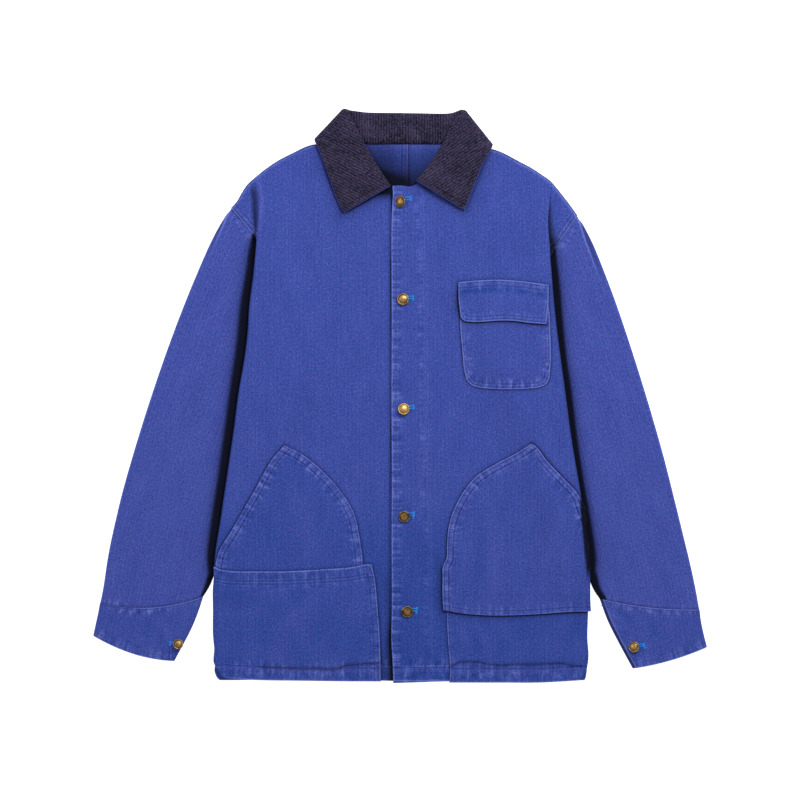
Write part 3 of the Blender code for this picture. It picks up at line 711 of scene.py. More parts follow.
def grid_quads(rows, columns, closed=False):
    """Corner numbers of a grid's quads; a closed grid joins its last column to its first."""
    index = np.arange(rows * columns).reshape(rows, columns)
    if closed:
        index = np.hstack([index, index[:, :1]])
    corners = (index[:-1, :-1], index[:-1, 1:], index[1:, 1:], index[1:, :-1])
    return np.stack(corners, axis=-1).reshape(-1, 4)


def new_object(name, points, faces, finish, fields=None, grain=None):
    """A shaded mesh object at the origin from points in millimetres."""
    mesh = bpy.data.meshes.new(name)
    corners = faces.tolist() if isinstance(faces, np.ndarray) else faces
    mesh.from_pydata((points * MM).tolist(), [], corners)
    mesh.materials.append(finish)
    mesh.shade_smooth()
    for field, values in (fields or {}).items():
        layer = mesh.attributes.new(field, "FLOAT", "POINT")
        layer.data.foreach_set("value", np.ravel(values).astype(np.float32))
    if grain is not None:
        layer = mesh.uv_layers.new(name="grain")
        layer.data.foreach_set("uv", (grain.reshape(-1, 2)[faces.ravel()] * MM).ravel())
    piece = bpy.data.objects.new(name, mesh)
    bpy.context.scene.collection.objects.link(piece)
    return piece


def sheet_area(points, faces):
    """The area of some quads in square metres: two triangles each, half a cross product."""
    corners = points[faces]
    halves = (np.cross(corners[:, 1] - corners[:, 0], corners[:, 2] - corners[:, 0]),
              np.cross(corners[:, 2] - corners[:, 0], corners[:, 3] - corners[:, 0]))
    return sum(np.linalg.norm(half, axis=1).sum() / 2 for half in halves) * MM ** 2


def cloth(name, points, faces, finish, flip, fields, grain, wall=1.1):
    """A cloth piece: the outer face, walled inwards by Solidify, in place of its solid. A seam
    distance that the piece doesn't give is FAR, and any other field that it leaves out is 0."""
    faces = faces[:, ::-1] if flip else faces
    points = points.reshape(-1, 3)
    blank = np.zeros(len(points))
    fields = {**{field: blank for field in ("wear", "shade", "run", "pucker")},
              **{field: blank + FAR for field in (*ROWS, "edge", "lap", "valley")}, **fields}
    piece = new_object(name, points, faces, finish, fields, grain)
    thick = piece.modifiers.new("wall", "SOLIDIFY")
    thick.thickness = wall * MM
    thick.offset = -1.0
    thick.use_even_offset = False
    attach(piece, "root")
    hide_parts(name.replace("cloth_", ""))
    made_cloth[name] = piece
    print(f"{name}: {len(faces)} quads, {sheet_area(points, faces):.4f} m2")


def drape(plan, height):
    """Points of a plan set at their heights."""
    return np.concatenate([plan, np.asarray(height)[..., None]], axis=-1)

# %% [markdown]
# ## Back panels
#
# The back is two panels joined by a felled seam down the middle. They lie flat on the table,
# so only the piece inside the neck shows from above. A Coons patch fills each one in from its
# four edges: hem, side seam and armhole, shoulder and neck, and centre seam.

# %% Back panels
BACK_SIDE_SHARE = 0.62
NECK_SHARE = 0.32
BACK_LAP = {-1: -0.9, 1: -2.6}


def back_plan(side, rows, columns):
    """A back panel in plan, from its four edges."""
    v, u = np.linspace(0, 1, rows), np.linspace(0, 1, columns)
    low = v[v <= BACK_SIDE_SHARE] / BACK_SIDE_SHARE
    centre = np.stack([BACK_LAP[side] + CENTRE_BACK_TOP_X * v,
                       HEM_Y + v * (BACK_NECK_Y - HEM_Y)], axis=-1)
    side_y = HEM_Y + low * (UNDERARM_Y - HEM_Y)
    seam = read(SIDE, "seam_" + side_name(side), side_y) - side * 0.35
    outer = np.vstack([np.stack([seam, side_y], axis=-1),
                       armhole(side, np.linspace(0.97, 0, rows - low.size))])
    over = np.vstack([
        along(BACK_NECK[side][::-1], u[u < NECK_SHARE] / NECK_SHARE),
        along(SHOULDER[side], (u[u >= NECK_SHARE] - NECK_SHARE) / (1 - NECK_SHARE))])
    over[0], over[-1] = centre[-1], outer[-1]
    hem = np.linspace(centre[0], outer[0], columns)
    return coons(hem, over, centre, outer, u, v)


def make_back(side):
    """A back panel. The wearer's right one laps over the other at the felled centre seam."""
    plan = back_plan(side, 150, 74)
    x, y = plan[..., 0], plan[..., 1]
    centre = [(0, HEM_Y), (CENTRE_BACK_TOP_X, BACK_NECK_Y)]
    d, s = near_line(x, y, centre)
    past = np.where(side * (x - x_at(centre, y)) < 0, -d, d)
    lapped = (side < 0) * (1.15 - 1.15 * ease((past - 1.5) / 3))
    wave = wander(s, 9, 71) + 0.5 * wander(s, 4, 72)
    felled = (side < 0) * bell(d - 5, 3.6)
    wear = -0.12 + 0.20 * wave * felled + 0.12 * felled
    wear += 0.30 * ease((y - 342) / 9)
    shade = 0.52 + 0.37 * ease((330 - y) / 34) + 0.10 * ease((np.abs(x - 4) - 20) / 26)
    shade += (0.22 * ease((2 - x) / 24)
              + 0.16 * ease((322 - y) / 16) * ease((18 - x) / 14))
    shade -= 0.26 * ease((y - 325) / 26)
    points = drape(plan, back_height(x, y) * 0.98 + lapped + 1.15)
    fields = {"wear": wear, "shade": np.clip(shade, 0, 1)}
    if side < 0:
        fields.update(row_a=past - 3.4, row_b=past - 9, edge=faint(past - 1.3, 0.5))
    else:
        # A painted shadow line beside the right panel's lapped edge
        fields.update(lap=np.abs(past + 0.9))
    cloth("cloth_back_" + side_name(side), points, grid_quads(*plan.shape[:2]),
          blue_twill, side > 0, fields, plan)


for side in (-1, 1):
    make_back(side)

# %% [markdown]
# ## What lies on what
#
# The pockets are patches, each given by its four edges, and their outlines are wanted before
# the cloth beneath them is made: wherever one layer ends on another, a painted shadow darkens
# the lower one along the line. So every piece carries its distance from the lines that cover
# it, and its finish is painted darker there.

# %% Outlines of the pockets and the collar's leaves
LEAF = {
    -1: [(-119, 359), (-113, 345), (-106, 327), (-94, 293), (-81, 258), (-74, 259),
         (-46, 275), (-24, 292), (-12, 298)],
    1: [(22, 302), (32, 299), (43, 292), (63, 278), (85, 264), (90, 263), (104, 299),
        (114, 323), (129, 353)]}

POCKETS = {
    "hip_pocket_right_upper": {
        "bottom": [(-257, -258), (-150, -258), (-50, -258)],
        "start": [(-257, -258), (-257.5, -246), (-257.5, -233)],
        "top": [(-257.5, -233), (-255, -221), (-236, -188), (-205, -134), (-176, -84), (-162, -68)],
        "end": [(-50, -258), (-52, -233), (-57, -195), (-64, -165), (-83, -133), (-108, -105),
                (-136, -82), (-162, -68)]},
    "hip_pocket_right_lower": {
        "bottom": [(-241, -394.5), (-200, -397), (-140, -398), (-80, -398.8), (-27, -399)],
        "start": [(-241, -394.5), (-249, -391.5), (-255, -384), (-257.8, -350), (-258.3, -300),
                  (-258.5, -238)],
        "top": [(-258.5, -238), (-252, -241.5), (-240, -243.5), (-200, -244.8), (-164, -244.8),
                (-110, -242), (-60, -237.6), (-51, -235.5), (-40, -235)],
        "end": [(-27, -399), (-28, -349), (-32, -290), (-36, -252), (-40, -235)]},
    "hip_pocket_left_lower": {
        "bottom": [(69, -400.8), (140, -400.8), (200, -400.6), (228, -399), (252, -397.4)],
        "start": [(69, -400.8), (70, -390), (67, -340), (65, -284)],
        "top": [(65, -284), (130, -284), (200, -284), (262, -284)],
        "end": [(252, -397.4), (259, -388), (261.5, -372), (261, -330), (262, -284)]},
    "hip_pocket_left_upper": {
        "bottom": [(60.5, -299), (85, -303.5), (120, -306.5), (160, -306.5), (200, -304.5),
                   (240, -301.5), (263.5, -301)],
        "start": [(60.5, -299), (59.5, -280), (59.5, -256), (60.5, -236), (64.5, -228),
                  (65.5, -208), (69, -178), (83, -143), (105, -113.5), (138, -92.5), (165, -78),
                  (184, -65.5)],
        "top": [(184, -65.5), (190, -70), (205, -89), (230, -116), (249, -137), (257, -158)],
        "end": [(263.5, -301), (262.5, -260), (261.5, -220), (257.5, -180), (257, -158)]},
    "chest_pocket": {
        "bottom": [(93, 23), (100, 16), (110, 12.5), (125, 10.8), (157, 10), (180, 10.8),
                   (196, 13), (205, 18), (209, 26)],
        "start": [(93, 23), (89.5, 38), (87.5, 60), (85.5, 80), (84, 105), (83.5, 144)],
        "top": [(83.5, 144), (140, 146), (206, 143)],
        "end": [(209, 26), (211, 50), (210.5, 83), (209.5, 110), (206, 143)]},
    "chest_pocket_flap": {
        "bottom": [(85, 111), (89, 106.5), (99, 104.5), (115, 104.5), (139, 106), (160, 105.5),
                   (180, 103), (204.5, 101)],
        "start": [(85, 111), (82.5, 130), (81.5, 160)],
        "top": [(81.5, 160), (110, 162.5), (141, 163.5), (175, 160.5), (208, 156)],
        "end": [(204.5, 101), (207.5, 130), (208, 156)]}}


def pocket_edge(name, edge):
    """One edge of a pocket as a smooth line."""
    return along(POCKETS[name][edge], np.linspace(0, 1, 36))


def outside_line(x, y, lines):
    """Distance from the nearest of some lines."""
    return np.min([near_line(x, y, line)[0] for line in lines], axis=0)


# Where each hip pocket's hem is folded up, with a painted shadow line along it like an edge
HEM_FOLD_LEFT = [(72, -378), (80, -373), (92, -371.5), (110, -371.5), (124, -375), (142, -376.5),
                 (160, -375), (180, -374.8), (196, -375), (212, -374), (226, -373), (240, -376.5),
                 (254, -377)]
HEM_FOLD_RIGHT = [(-196, -378.8), (-170, -380), (-140, -381), (-120, -381), (-106, -382),
                  (-92, -383), (-78, -377), (-64, -375.4), (-48, -374), (-30, -373)]


def edges_of(name, *edges):
    """Some of a pocket's edges as smooth lines."""
    return [pocket_edge(name, edge) for edge in edges]


COVERS = {
    "front_right": [LEAF[-1], *edges_of("hip_pocket_right_upper", "top", "end"),
                    *edges_of("hip_pocket_right_lower", "top", "end")],
    "front_left": [LEAF[1], *edges_of("chest_pocket", "start", "bottom", "end"),
                   *edges_of("chest_pocket_flap", "start", "top", "end"),
                   *edges_of("hip_pocket_left_upper", "start", "top", "bottom"),
                   *edges_of("hip_pocket_left_lower", "start")],
    "hip_pocket_right_upper": edges_of("hip_pocket_right_lower", "top"),
    "hip_pocket_left_lower": [*edges_of("hip_pocket_left_upper", "bottom"), HEM_FOLD_LEFT],
    "hip_pocket_right_lower": [HEM_FOLD_RIGHT],
    "chest_pocket": edges_of("chest_pocket_flap", "bottom")}
print("pieces that something covers:", list(COVERS))

# %% [markdown]
# ## Fronts
#
# Each front is one wide panel. It runs over the top of the sleeve at the side, folds under and
# comes back to the side seam. The wearer's left front laps over the right, with a facing that
# doubles its edge. The sewing leaves its marks here: a row just inside the edge, another down
# the facing, and a deep hem along the bottom.

# %% The sewn lines of the fronts
FRONT_EDGE = np.array([(-9.5, -400.6), (-9.8, -390), (-10.6, -368), (-12, -345), (-11.6, -300),
                       (-11.9, -200), (-11.6, -100), (-12.1, 0), (-11.7, 100), (-12, 180),
                       (-12, 240), (-11, 270), (-10, 285), (-10.6, 295)], dtype=float)
FACING_LINE = [(45, -399), (44, -300), (42, -200), (39, -75), (37, 40), (35, 135), (32, 230),
               (31, 290)]
HEM_STITCH_Y = -379.0
UNDERLAP_X = 22.0
# Where along the armhole each side's fold leaves it
FOLD_LEAVES = {-1: 0.26, 1: 0.33}


def turned_share(v):
    """How much of its full radius the side's fold keeps: all of it, then half at the armhole,
    because the wall crosses itself where the radius runs out to nothing."""
    return np.maximum(1 - ease((v - ARMHOLE_START + 0.07) / 0.07), 0.5)


def front_edges(side, u, v):
    """The four edges of a front in plan: hem, shoulder, centre edge and side."""
    low = v[v <= ARMHOLE_START] / ARMHOLE_START
    high = (v[v > ARMHOLE_START] - ARMHOLE_START) / (1 - ARMHOLE_START)
    hem_y = HEM_Y - 1.5
    if side > 0:
        centre = along(FRONT_EDGE, low)
    else:
        centre = np.stack([np.full(low.size, UNDERLAP_X), hem_y + low * (293 - hem_y)], axis=-1)
    centre = np.vstack([centre, along(NECKLINE[side], high)])
    leave = FOLD_LEAVES[side]
    leave_y = armhole(side, [leave])[0, 1]
    side_y = hem_y + 2 + low * (leave_y - hem_y - 2)
    fold_x = (read(SIDE, side_name(side), side_y)
              - side * fold_radius(side_y) * turned_share(v[v <= ARMHOLE_START]))
    outer = np.vstack([np.stack([fold_x, side_y], axis=-1),
                       armhole(side, leave * (1 - high))])
    top = along(SHOULDER[side], u)
    top[-1], top[0] = outer[-1], centre[-1]
    hem = np.linspace(centre[0], outer[0], 9)
    hem[:, 1] += 1.3 * np.sin(np.linspace(0, np.pi, 9)) - 0.7
    return along(hem, u), top, centre, outer


print("a fold's share at the armhole:", turned_share(np.array([ARMHOLE_START])))

# %% What the sewing does to a front
def sewn_front(x, y, side, edge, shoulder_line, seam_line):
    """Height, wear with painted light, and seam distances that the sewing gives a front."""
    above = y - HEM_STITCH_Y
    to_seam, s = near_line(x, y, seam_line)
    to_seam = to_seam + 40 * ease((seam_line[0, 1] + 2 - y) / 7)
    to_seam = to_seam + 40 * ease((inside_fold(x, y, side) - 0.5) / 3) * (y < 262)
    row_a = np.minimum(above, to_seam - 2.7)
    rim = np.minimum(y - HEM_Y + 1, np.abs(to_seam - 0.7))
    row_c = np.full(x.shape, FAR)
    felled = bell(to_seam - 4.8, 4)
    wave = wander(s, 6, 51 + side)
    lift, wear = 0.25 * wave * felled + 0.55 * felled, 0.10 * felled
    seams = [(0.55 * felled, s)]
    wave = wander(x, 6, 41 + side)
    hem = ease((14 - above) / 5) * (above < 14)
    slanted = wander(x + 0.5 * above, 10, 45 + side) * bell(above - 9, 8)
    lift += 0.35 * wave * hem - 0.30 * bell(above, 1.5) + 0.30 * slanted
    wear += 0.24 * slanted + 0.28 * bell(above + 4.5, 2.4)
    # Darker towards the bottom of the front
    wear -= 0.24 * ease((-120 - y) / 120)
    # A painted highlight along the ridge of the wearer's right shoulder fold
    if side < 0:
        ridge = bell(inside_fold(x, y, side) - 2.5, 2.6)
        wear += 0.26 * ridge * ease((y - 222) / 16) * ease((318 - y) / 24)
    seams.append((0.75 * hem, x + 300))
    to_top, _ = near_line(x, y, shoulder_line)
    rim = np.minimum(rim, np.abs(above - 1) * 1.3)
    row_a = np.minimum(row_a, to_top - 3.4)
    rim = np.minimum(rim, np.abs(to_top - 2.9))
    if side > 0:
        d, s = near_line(x, y, edge)
        more, band = pucker(d, s, (6.2,), 6, 21)
        lift += more
        seams.append((1.35 * band, s))
        row_a = np.minimum(row_a, faint(d - 6.2, 0.95))
        rim = np.minimum(rim, np.abs(d - 0.75) * 0.8)
        row_c = x - x_at(FACING_LINE, y)
        wave = wander(y, 7, 31)
        inner = bell(row_c + 7, 4.6) + 0.4 * bell(row_c - 3.5, 3)
        lift += 0.30 * wave * inner - 0.12 * bell(row_c, 1.4)
        wear += 0.06 * bell(row_c + 7, 5) * (1 + wander(y, 21, 33))
        seams.append((0.60 * inner, y + 500))
        row_c = faint(row_c, 1.15)
    fields = {"row_a": row_a, "row_b": to_seam - 8.4, "row_c": row_c, "edge": rim}
    return lift, wear, dict(fields, **strongest(seams))

# %% Shade on the fronts
# The painted shade in the deep notch under each leaf's point: its middle, its depth and its reach
NOTCH = {-1: (-20, 289, 0.95, 11), 1: (38, 296, 0.45, 8)}

# Pocket edges that stand off the front, with a narrow painted shadow beside them: the side, the
# pocket, the edge, the depth and the reach
SHADED_EDGES = ((-1, "hip_pocket_right_upper", "top", 0.34, 2),
                (-1, "hip_pocket_right_upper", "end", 0.20, 1.8),
                (1, "hip_pocket_left_upper", "top", 0.42, 2.6),
                (1, "hip_pocket_left_upper", "start", 0.16, 1.8),
                (1, "chest_pocket", "start", 0.26, 1.5),
                (1, "chest_pocket_flap", "start", 0.3, 2))


def front_shade(x, y, side):
    """Deep soft shade under the collar's leaf, beside the overlap and past the side fold."""
    d, _ = near_line(x, y, LEAF[side])
    shade = 0.40 * np.exp(-(d / 10) ** 1.4)
    notch_x, notch_y, depth, reach = NOTCH[side]
    shade += depth * bell(np.hypot((x - notch_x) / 1.6, y - notch_y), reach)
    if side < 0:
        beside = np.maximum(x_at(FRONT_EDGE, y) - x, 0)
        wedge = 3 + 0.09 * np.maximum(-290 - y, 0)
        shade += 0.62 * np.exp(-(beside / 2.6) ** 1.6)
        shade += 0.30 * ease((-180 - y) / 120) * bell(beside - 2, 9)
        shade += 0.50 * ease((-290 - y) / 60) * bell(beside, wedge)
    else:
        beside = np.maximum(83 - x, 0) + np.maximum(x - 90, 0) * 2
        shade += 0.62 * np.exp(-beside / 7) * np.exp(-((y - 132) / 19) ** 4)
        shade += 0.30 * bell(x - 56, 6) * np.exp(-((y + 268) / 42) ** 4)
    for owner, pocket, edge, depth, reach in SHADED_EDGES:
        if owner == side:
            shade += depth * bell(near_line(x, y, pocket_edge(pocket, edge))[0], reach)
    past = -inside_fold(x, y, side)
    if side < 0:
        d, _ = near_line(x, y, SHOULDER_CREASE)
        reach = np.where(x > x_at(SHOULDER_CREASE, y), 7.5, 3)
        shade += 0.74 * bell(d, reach) * ease((past + 0.5) / 3) * ease(
            (y - 208) / 12) * ease((304 - y) / 22)
    shade += 0.50 * bell(near_line(x, y, SHOULDER[side])[0], 1.7)
    below = ease(past / 5) * ease((232 - y) / 26)
    return np.clip(shade + 0.4 * below, 0, 1)


# How fast the painted shade in the valley beside the shoulder's fold narrows towards its top
VALLEY = table(
    ("y", "right", "left"),
    (150, 0.6, 0.6), (215, 0.6, 0.70), (235, 0.75, 0.85), (250, 0.9, 1.3), (262, 1, 2.2),
    (272, 1.2, 5), (290, 1.6, 30), (304, 4, 40), (314, 40, 40), (380, 60, 60))

# A line of painted shade along a crease outside the wearer's right shoulder fold, which runs into
# it at the armhole
SHOULDER_CREASE = [(-200, 300), (-205.4, 297), (-207.2, 290), (-205.1, 274.4),
                   (-204.4, 255.6), (-202.2, 235.1), (-200.5, 221.5)]


def valley_distance(x, y, side):
    """Distance outside the shoulder's fold, for its painted shade; counted faster where the valley
    is narrower.
    """
    faster = np.interp(y, VALLEY["y"], VALLEY[side_name(side)])
    outside = -inside_fold(x, y, side)
    fades = (side < 0) * ease((y - 218) / 22)
    return np.clip(outside * faster * (1 - fades) - 5 * fades, -5, FAR)


print("edges that throw a dark line:", len(SHADED_EDGES))

# %% The strip turned under
# The steps round a fold, the steps back to the seam, and the shade of both
TURN = np.radians((66, 44, 22, 0, -22, -44, -66, -90))
STRIP_SHARES = np.linspace(0, 1, 11)[1:]
TURNED_SHADE = np.array([0.1, 0.2, 0.4, 0.6, 0.8, 0.85, 0.9] + [0.95] * 11)


def turned_strip(edge, shrink, side):
    """The cloth turned under at a front's side: round the fold in a circle, then level back to
    the seam, sinking on an S curve onto the back below the underarm."""
    def along_edge(count):
        return np.repeat(edge[:, 1:2], count, axis=1)

    under = np.interp(edge[:, 1], SIDE["y"], SIDE["under"])[:, None]
    radius = (edge[:, 2:3] - under) / 2 * shrink
    around = np.stack([edge[:, :1] + side * radius * np.cos(TURN), along_edge(TURN.size),
                       edge[:, 2:3] - radius + radius * np.sin(TURN)], axis=-1)
    seam = read(SIDE, "seam_" + side_name(side), edge[:, 1]) - side * 2.5
    inner_x = edge[:, :1] + STRIP_SHARES * (seam[:, None] - edge[:, :1]) * shrink
    down = (1 - ease((np.abs(inner_x - seam[:, None]) - 2.5) / 9)) * ease(
        (UNDERARM_Y - edge[:, 1:2]) / 10)
    foot = edge[:, 2:3] - 2 * radius
    strip = np.stack([inner_x, along_edge(STRIP_SHARES.size), foot + down * (LAYER - foot)],
                     axis=-1)
    return np.concatenate([around, strip], axis=1)


print("columns turned under:", TURN.size + STRIP_SHARES.size)

# %% Front panels
def front_face(side, u, v):
    """A front's outer face, and the wear with painted light and seam distances that its sewing
    gives it.
    """
    bottom, top, centre, outer = front_edges(side, u, v)
    plan = coons(bottom, top, centre, outer, u, v)
    x, y = plan[..., 0], plan[..., 1]
    seam_line = armhole(side, np.linspace(FOLD_LEAVES[side], 0, 24))
    lift, wear, fields = sewn_front(x, y, side, centre[v <= ARMHOLE_START], top, seam_line)
    height = front_height(x, y, side) + lift
    from_top = np.linalg.norm(plan - plan[-1:], axis=-1)
    seam_height = back_height(x, y) + 1.2 + LAYER + 0.35
    height = seam_height + (height - seam_height) * rounded(from_top, 5)
    if side > 0:
        d, _ = near_line(x, y, centre)
        height -= 0.45 * (1 - rounded(d, 1.6))
    return drape(plan, height), wear, fields


def make_front(side):
    """A front: its face, then the strip turned under along the side, joined row by row."""
    v = np.concatenate([[0, 0.0005], np.linspace(0, 0.045, 22)[1:],
                        np.linspace(0.045, ARMHOLE_START, 190)[1:],
                        np.linspace(ARMHOLE_START, 1, 72)[1:]])
    u = (np.concatenate([[0, 0.0012], np.linspace(0, 0.2, 34)[1:], np.linspace(0.2, 1, 72)[1:]])
         if side > 0
         else np.concatenate([np.linspace(0, 0.2, 18), np.linspace(0.2, 1, 82)[1:]]))
    face, wear, fields = front_face(side, u, v)
    x, y = face[..., 0], face[..., 1]
    rows, columns = int((v <= ARMHOLE_START).sum()), face.shape[1]
    edge = face[:rows, -1]
    turned = turned_strip(edge, turned_share(v[:rows, None]), side)
    index = x.size + np.arange(turned[..., 0].size).reshape(rows, -1)
    join = np.hstack([np.arange(rows)[:, None] * columns + columns - 1, index])
    extra = np.stack([join[:-1, :-1], join[:-1, 1:], join[1:, 1:], join[1:, :-1]], axis=-1)
    faces = np.vstack([grid_quads(*x.shape), extra.reshape(-1, 4)])
    points = np.vstack([face.reshape(-1, 3), turned.reshape(-1, 3)])
    shade = front_shade(x, y, side)
    shade = np.concatenate([shade.ravel(), np.maximum(shade[:rows, -1:], TURNED_SHADE).ravel()])
    name = "front_" + side_name(side)
    # Distance from the edges that cover the front, and from the overlap's edge, for a painted
    # shadow line
    lap = outside_line(x, y, COVERS[name])
    if side < 0:
        beside = x_at(FRONT_EDGE, y) - x
        lap = np.where(beside > 0, np.minimum(lap, beside), lap)
    fields = dict(fields, lap=lap, valley=valley_distance(x, y, side))
    fields = {field: np.concatenate([
        values.ravel(), np.full(index.size, 0 if field in ("pucker", "run") else FAR)])
        for field, values in fields.items()}
    wear = np.concatenate([wear.ravel(), np.full(index.size, -0.1)])
    grain = points[:, :2].copy()
    grain[x.size:, 0] = (edge[:, :1] + side * np.arange(1, index.shape[1] + 1) * 3).ravel()
    cloth("cloth_" + name, points, faces, blue_twill, side < 0,
          dict(fields, wear=wear, shade=shade), grain)
    return face


faces_of_fronts = {side: make_front(side) for side in (-1, 1)}

# %% [markdown]
# ## Sleeves and cuffs
#
# A sleeve is a tube laid flat: two layers that meet in a soft fold at each side. It is worked
# out ring by ring from the armhole to the cuff. Beside the body the upper layer sinks, because
# it is tucked in under the front there, and that hollow holds the deepest shade of the whole
# jacket. The cuffs are shorter tubes of the same make.

# %% The upper layer of a sleeve
def sleeve_height(x, y, side):
    """6 mm, sinking on an S curve into the tuck beside the body, with the listed creases."""
    outside = -inside_fold(x, y, side)
    width = read(TUCK, side_name(side), y)
    sunk = 3.1 * ease(width / 6) * (1 - ease((outside - width + 1) / 9))
    uneven = creases(x, y, SLEEVE_CREASES[side]) + 0.25 * cloud(x + 900, y + 900, 40, 15 + side)
    return SLEEVE_HEIGHT - sunk + uneven * (1 - ease(sunk / 2))


def fold_line(rings, which):
    """Where a tube folds over, as a line of points: its outer or its inner side."""
    return np.stack([rings[which + "_x"], rings[which + "_y"]], axis=-1)


def deep_shade(distance, width):
    """1 for most of a width, then down to 0 on an S curve."""
    return 1 - ease((distance - 0.80 * width) / (0.45 * width + 2))


def sleeve_shade(x, y, side):
    """Full shade beside the body, fading on an S curve out past the tuck's width, and the same
    along the sleeve's own inner fold below the body."""
    outside = -inside_fold(x, y, side)
    width = read(TUCK, side_name(side), y)
    soft = 0.34 * np.exp(-(np.maximum(outside - width, 0) / 8) ** 1.2)
    beside_body = np.maximum(deep_shade(outside, width), soft) * ease(width / 7)
    to_inner, _ = near_line(x, y, fold_line(SLEEVES[side], "inner"))
    width = read(INNER_TUCK, side_name(side), y)
    own = deep_shade(to_inner, width) * ease(width / 3)
    return np.clip(np.maximum(beside_body, own), 0, 1)


def tube_points(rings, steps, top_count, height_at, fold=4.2):
    """Both layers of a flat tube. c is the square root of 1-(1-d/fold)^2 near a fold and 1
    inside, and the layers stand at half the height, plus and minus c halves of it. The columns
    lie closer together towards both folds."""
    order = np.linspace(0, 1, len(rings["outer_x"]))
    place = {name: read(dict(rings, s=order), name, steps, "s")[:, None] for name in RINGS}
    even = np.linspace(0, 1, top_count)
    shares = (0.35 * (1 - np.cos(np.pi * even)) / 2 + 0.65 * even)[None, :]
    span = np.hypot(place["inner_x"] - place["outer_x"], place["inner_y"] - place["outer_y"])
    c = rounded(np.minimum(shares, 1 - shares) * span, fold)
    x, y = (place["outer_" + axis] + shares * (place["inner_" + axis] - place["outer_" + axis])
            + 4 * shares * (1 - shares) * place["bow_" + axis] for axis in "xy")
    high = height_at(x, y)
    top, under = (np.stack([x, y, high * (0.5 + layer * c)], axis=-1) for layer in (0.5, -0.5))
    loops = np.concatenate([top, under[:, -2:0:-1]], axis=1)
    across = shares * span
    grain_u = np.concatenate([across, (2 * span - across)[:, -2:0:-1]], axis=1)
    grain_v = np.repeat(running_length(loops[:, top_count // 2, :2])[:, None], loops.shape[1],
                        axis=1)
    return loops, np.stack([grain_u, grain_v], axis=-1)


def ring_edge(rings, row):
    """A whole ring of a tube as a line of points."""
    return ring_line(rings, row, np.linspace(0, 1, 30))


def upper_layer(z):
    """1 on the upper layer of a flat tube and 0 on the lower one."""
    return ease((z - 2.4) / 1.6)


print("deepest tuck beside the body, mm:", TUCK["right"].max())

# %% Sleeves
SLEEVE_COLUMNS = 70

# The pale ridges where the sleeves' outer folds leave the shoulders
SLEEVE_RIDGE = {
    -1: [(-237, 263), (-243, 251), (-249.5, 235), (-257, 219), (-265, 201)],
    1: [(244, 256), (251, 245), (259, 219), (272, 184), (282, 159), (289, 140)]}


def make_sleeve(side):
    """A sleeve tube with both its ends slipped under what is sewn over them."""
    rings = SLEEVES[side]
    steps = np.concatenate([np.linspace(0, 0.06, 16), np.linspace(0.06, 0.95, 142)[1:],
                            np.linspace(0.95, 1, 14)[1:]])
    loops, grain = tube_points(rings, steps, SLEEVE_COLUMNS,
                               lambda x, y: sleeve_height(x, y, side))
    x, y, z = loops[..., 0], loops[..., 1], loops[..., 2]
    upper = upper_layer(z)
    d, s = near_line(x, y, ring_edge(rings, 0))
    z -= 1.7 * bell(d, 5) * upper
    x -= side * 5.5 * (1 - ease(d / 11)) * upper
    wave = wander(s, 9, 61 + side) + 0.5 * wander(s, 4, 62)
    band = bell(d - 6, 4.5)
    wear = 0.10 + 0.04 * band
    z += 0.3 * wave * band * upper
    seams = [(0.5 * band, s)]
    # A painted shadow line along the armhole seam, and along the cuff seam below
    lap = 2.2 * (d - 1.2)
    d, s = near_line(x, y, ring_edge(rings, -1))
    wave = wander(s, 8, 65 + side) + 0.6 * wander(s, 3.7, 66)
    near_cuff = bell(d - 3.5, 4.5)
    share = 1 if side < 0 else 0.6
    z += upper * (0.35 * share * wave * near_cuff - 0.7 * (1 - ease((d - 1.2) / 2.6)))
    z += (1 - upper) * 1.25 * (1 - ease((d - 2.2) / 4))
    if side < 0:
        near_cuff = near_cuff * (0.30 + 1.7 * ease((-376 - x) / 20))
    seams.append((0.95 * share * near_cuff, s))
    wear += 0.12 * near_cuff
    lap = np.minimum(lap, d + 0.6)
    ridge = SLEEVE_RIDGE[side]
    top_y, foot_y = ridge[0][1], ridge[-1][1]
    _, s = near_line(x, y, ridge)
    fades = 1 - ease((s - 20) / (110 if side > 0 else 50))
    beyond = side * (x - x_at(ridge, y))
    shade = np.maximum(sleeve_shade(x, y, side),
                       0.40 * ease((beyond - 1.2) / 1.6) * fades * (y > foot_y))
    along_ridge = (np.abs(beyond) < 9) & (upper > 0.5) & (y < top_y) & (y > foot_y)
    rim = near_line(x, y, fold_line(rings, "outer"))[0] + 0.5
    rim = np.where(along_ridge, beyond / np.maximum(1.25 * fades, 0.12), rim)
    fields = {"wear": wear, "shade": shade, "lap": np.where(upper > 0.5, np.abs(lap), FAR),
              "edge": rim, **strongest(seams)}
    cloth("cloth_sleeve_" + side_name(side), loops, grid_quads(*x.shape, closed=True),
          blue_twill, side < 0, fields, grain)

# %% Cuffs
CUFF_COLUMNS = 80
CUFF_HEIGHT = 6.3
CUFF_HEM_ROW = 6.5


